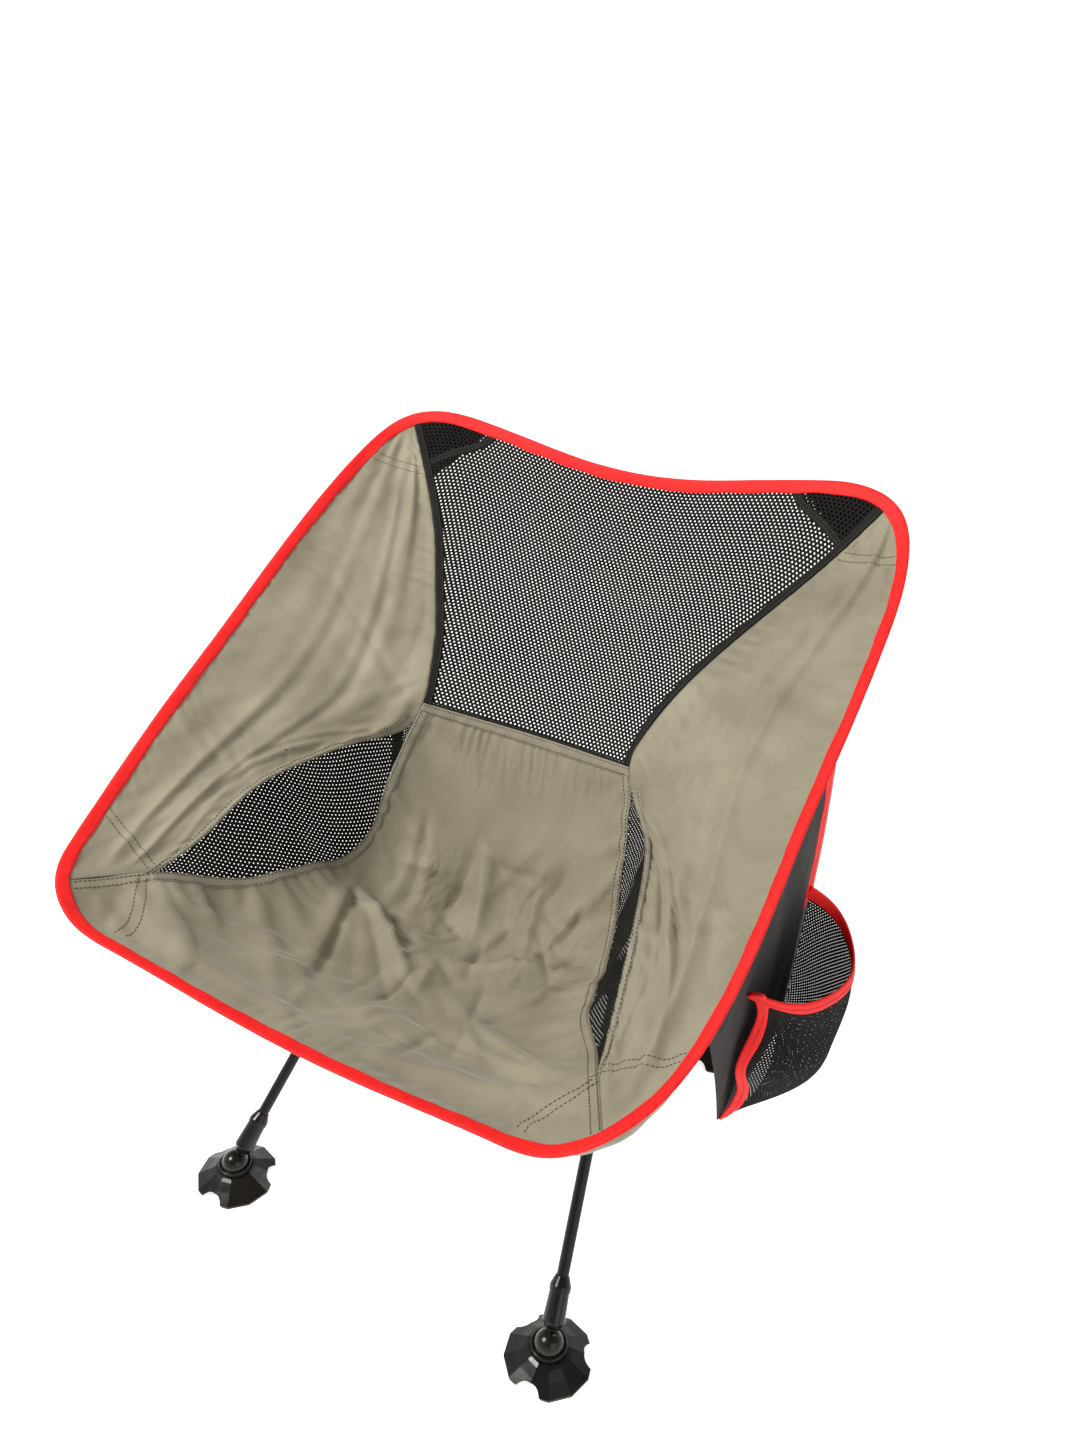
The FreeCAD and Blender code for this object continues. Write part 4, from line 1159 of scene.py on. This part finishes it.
def patch_tape(panel):
    """The dark tape with two rows of stitches along a corner patch's arc."""
    t = np.linspace(0.02, 0.98, 40)
    u, v = 1 - PATCH + PATCH * t ** 2, 1 - PATCH * t
    edge = panel.at(u, v, -0.8 * MM)
    tangent, normal = unit(np.gradient(edge, axis=0)), panel.normal(u, v)
    inward = unit(np.cross(normal, tangent))
    inward *= np.sign((inward * (panel.at(1.0, 1.0) - edge)).sum())
    tapes.add(*binding_solid(edge, inward, normal, PATCH_TAPE, 1.3, 0.1))
    for share in (0.25, 0.7):
        add_stitches(black_rows, edge + inward * share * PATCH_TAPE + normal * 1.65 * MM, normal)


def build_sling():
    seat = slab("seat_cloth", panels["seat"], khaki)
    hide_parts("seat_panel")
    for side in ("left", "right"):
        cloth = slab(f"side_cloth_{side}", panels[side], khaki)
        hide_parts(f"side_panel_{side}")
        gusset = net(f"gusset_net_{side}", panels[f"gusset_{side}"].turned(), SLING_NET, 2.8 * MM)
        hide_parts(f"gusset_mesh_{side}")
    back = net("back_net", panels["back"], SLING_NET, 2.2 * MM)
    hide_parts("back_mesh")
    make_hems()
    make_corner_rows()
    make_mesh_tapes()
    patch_tape(panels["back"])
    patch_tape(panels["back"].turned().flipped().turned())
    make_binding()
    hem = hems.made("hem_cloth", khaki_tape, "khaki_fabric")
    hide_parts("gusset_hems", "seat_back_hem")
    tape = tapes.made("mesh_seam_tapes", black_tape, "black_tape")
    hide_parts("mesh_seam_tape")
    rim = binding.made("edge_binding_tape", red_tape, "red_binding")
    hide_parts("edge_binding")


def build_patches():
    def keep(u, v):
        outer = np.maximum(u, 1 - u)
        return (outer > 1 - PATCH) & (v > 1 - PATCH * np.sqrt(np.maximum(outer - 1 + PATCH, 0) / PATCH))
    patch = net("corner_net", panels["back"], SLING_NET, 2.3 * MM, keep, -1.6 * MM)
    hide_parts("mesh_corner_patch")


def build_pocket():
    back, pouch = make_pocket()
    # The pocket's back is painted near-black as painted shade: it is khaki cloth in deep shadow.
    cloth = slab("pocket_back_cloth", back, near_black_and_shade)
    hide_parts("bottle_pocket_back")
    mesh = net("pocket_net", pouch, POUCH_NET, 1.8 * MM)
    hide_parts("bottle_pocket_mesh")
    tape_on_edge(pouch, 9 * MM, 1.0, 0.12)
    tape_on_edge(pouch.turned(), 8 * MM, 1.0, 0.35)
    tape_on_edge(back.turned().flipped(), 14 * MM, 0.9, 0.2, (0.02, 0.5))
    tape = pocket_tape.made("pocket_rim_tape", red_tape, "red_binding")
    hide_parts("bottle_pocket_rim")


# ------------ floor, light and camera
def floor_material():
    made, tree, shader = material("pale_floor", (0.9, 0.9, 0.89), 0.8)
    cloudy = noise(tree, object_place(tree), 1.5, 2)
    tint(tree, shader, cloudy, (0.89, 0.89, 0.88), (0.92, 0.92, 0.91))
    shader.inputs["Emission Color"].default_value = (1.0, 0.995, 0.98, 1)
    shader.inputs["Emission Strength"].default_value = 0.72
    return made


def build_stage():
    half = 40.0
    mesh = bpy.data.meshes.new("floor")
    mesh.from_pydata([(-half, -half, 0), (half, -half, 0), (half, half, 0), (-half, half, 0)], [],
                     [(0, 1, 2, 3)])
    floor = bpy.data.objects.new("floor", mesh)
    floor.data.materials.append(floor_material())
    bpy.context.scene.collection.objects.link(floor)
    world = bpy.data.worlds.new("studio")
    bpy.context.scene.world = world
    world.use_nodes = True
    tree = world.node_tree
    tree.nodes["Background"].inputs["Color"].default_value = (1.0, 0.99, 0.97, 1)
    height = add(tree, "ShaderNodeSeparateXYZ")
    tree.links.new(add(tree, "ShaderNodeTexCoord").outputs["Generated"], height.inputs[0])
    level = spread_value(tree, height.outputs["Z"], 1.05, 0.3, 0.3, 0.6)
    tree.links.new(level, tree.nodes["Background"].inputs["Strength"])


def area_light(name, place, target, size, power, colour=(1, 1, 1)):
    data = bpy.data.lights.new(name, "AREA")
    data.shape = "DISK"
    data.size = size
    data.energy = power
    data.color = colour
    light = bpy.data.objects.new(name, data)
    light.location = place
    light.rotation_euler = (Vector(target) - Vector(place)).to_track_quat("-Z", "Y").to_euler()
    bpy.context.scene.collection.objects.link(light)


CAMERA_PLACE = (0.439, -0.675, 0.934)
CAMERA_AZIMUTH = math.radians(29.67)
CAMERA_DOWN = math.radians(29.35)
CAMERA_ROLL = math.radians(1.33)
FOCAL_SHARE = 1132.2 / 1440  # focal length over the image's longer side
SENSOR_MM = 36.0


def build_camera():
    ahead = Vector((-math.sin(CAMERA_AZIMUTH) * math.cos(CAMERA_DOWN),
                    math.cos(CAMERA_AZIMUTH) * math.cos(CAMERA_DOWN), -math.sin(CAMERA_DOWN)))
    level = Vector((math.cos(CAMERA_AZIMUTH), math.sin(CAMERA_AZIMUTH), 0))
    raised = level.cross(ahead)
    right = level * math.cos(CAMERA_ROLL) + raised * math.sin(CAMERA_ROLL)
    up = raised * math.cos(CAMERA_ROLL) - level * math.sin(CAMERA_ROLL)
    data = bpy.data.cameras.new("camera")
    data.sensor_width = SENSOR_MM
    data.lens = FOCAL_SHARE * SENSOR_MM
    camera = bpy.data.objects.new("camera", data)
    turn = Matrix((right, up, -ahead)).transposed().to_4x4()
    camera.matrix_world = Matrix.Translation(CAMERA_PLACE) @ turn
    bpy.context.scene.collection.objects.link(camera)
    bpy.context.scene.camera = camera


build_camera()
build_stage()
area_light("key", (-1.1, -0.9, 1.9), (0, 0, 0.4), 0.7, 52, (1.0, 0.97, 0.93))
area_light("fill", (1.9, -0.9, 1.3), (0, 0, 0.4), 1.6, 9)
area_light("back", (0.6, 2.0, 1.9), (0, 0, 0.4), 1.0, 14)
bpy.context.scene.view_settings.view_transform = "Standard"
dress_frame()
build_sling()
build_patches()
make_corner_pockets()
build_pocket()
dark_rows.made("dark_stitches", thread_dark, None)
red_rows.made("red_stitches", thread_red, None)
black_rows.made("black_stitches", thread_black, None)
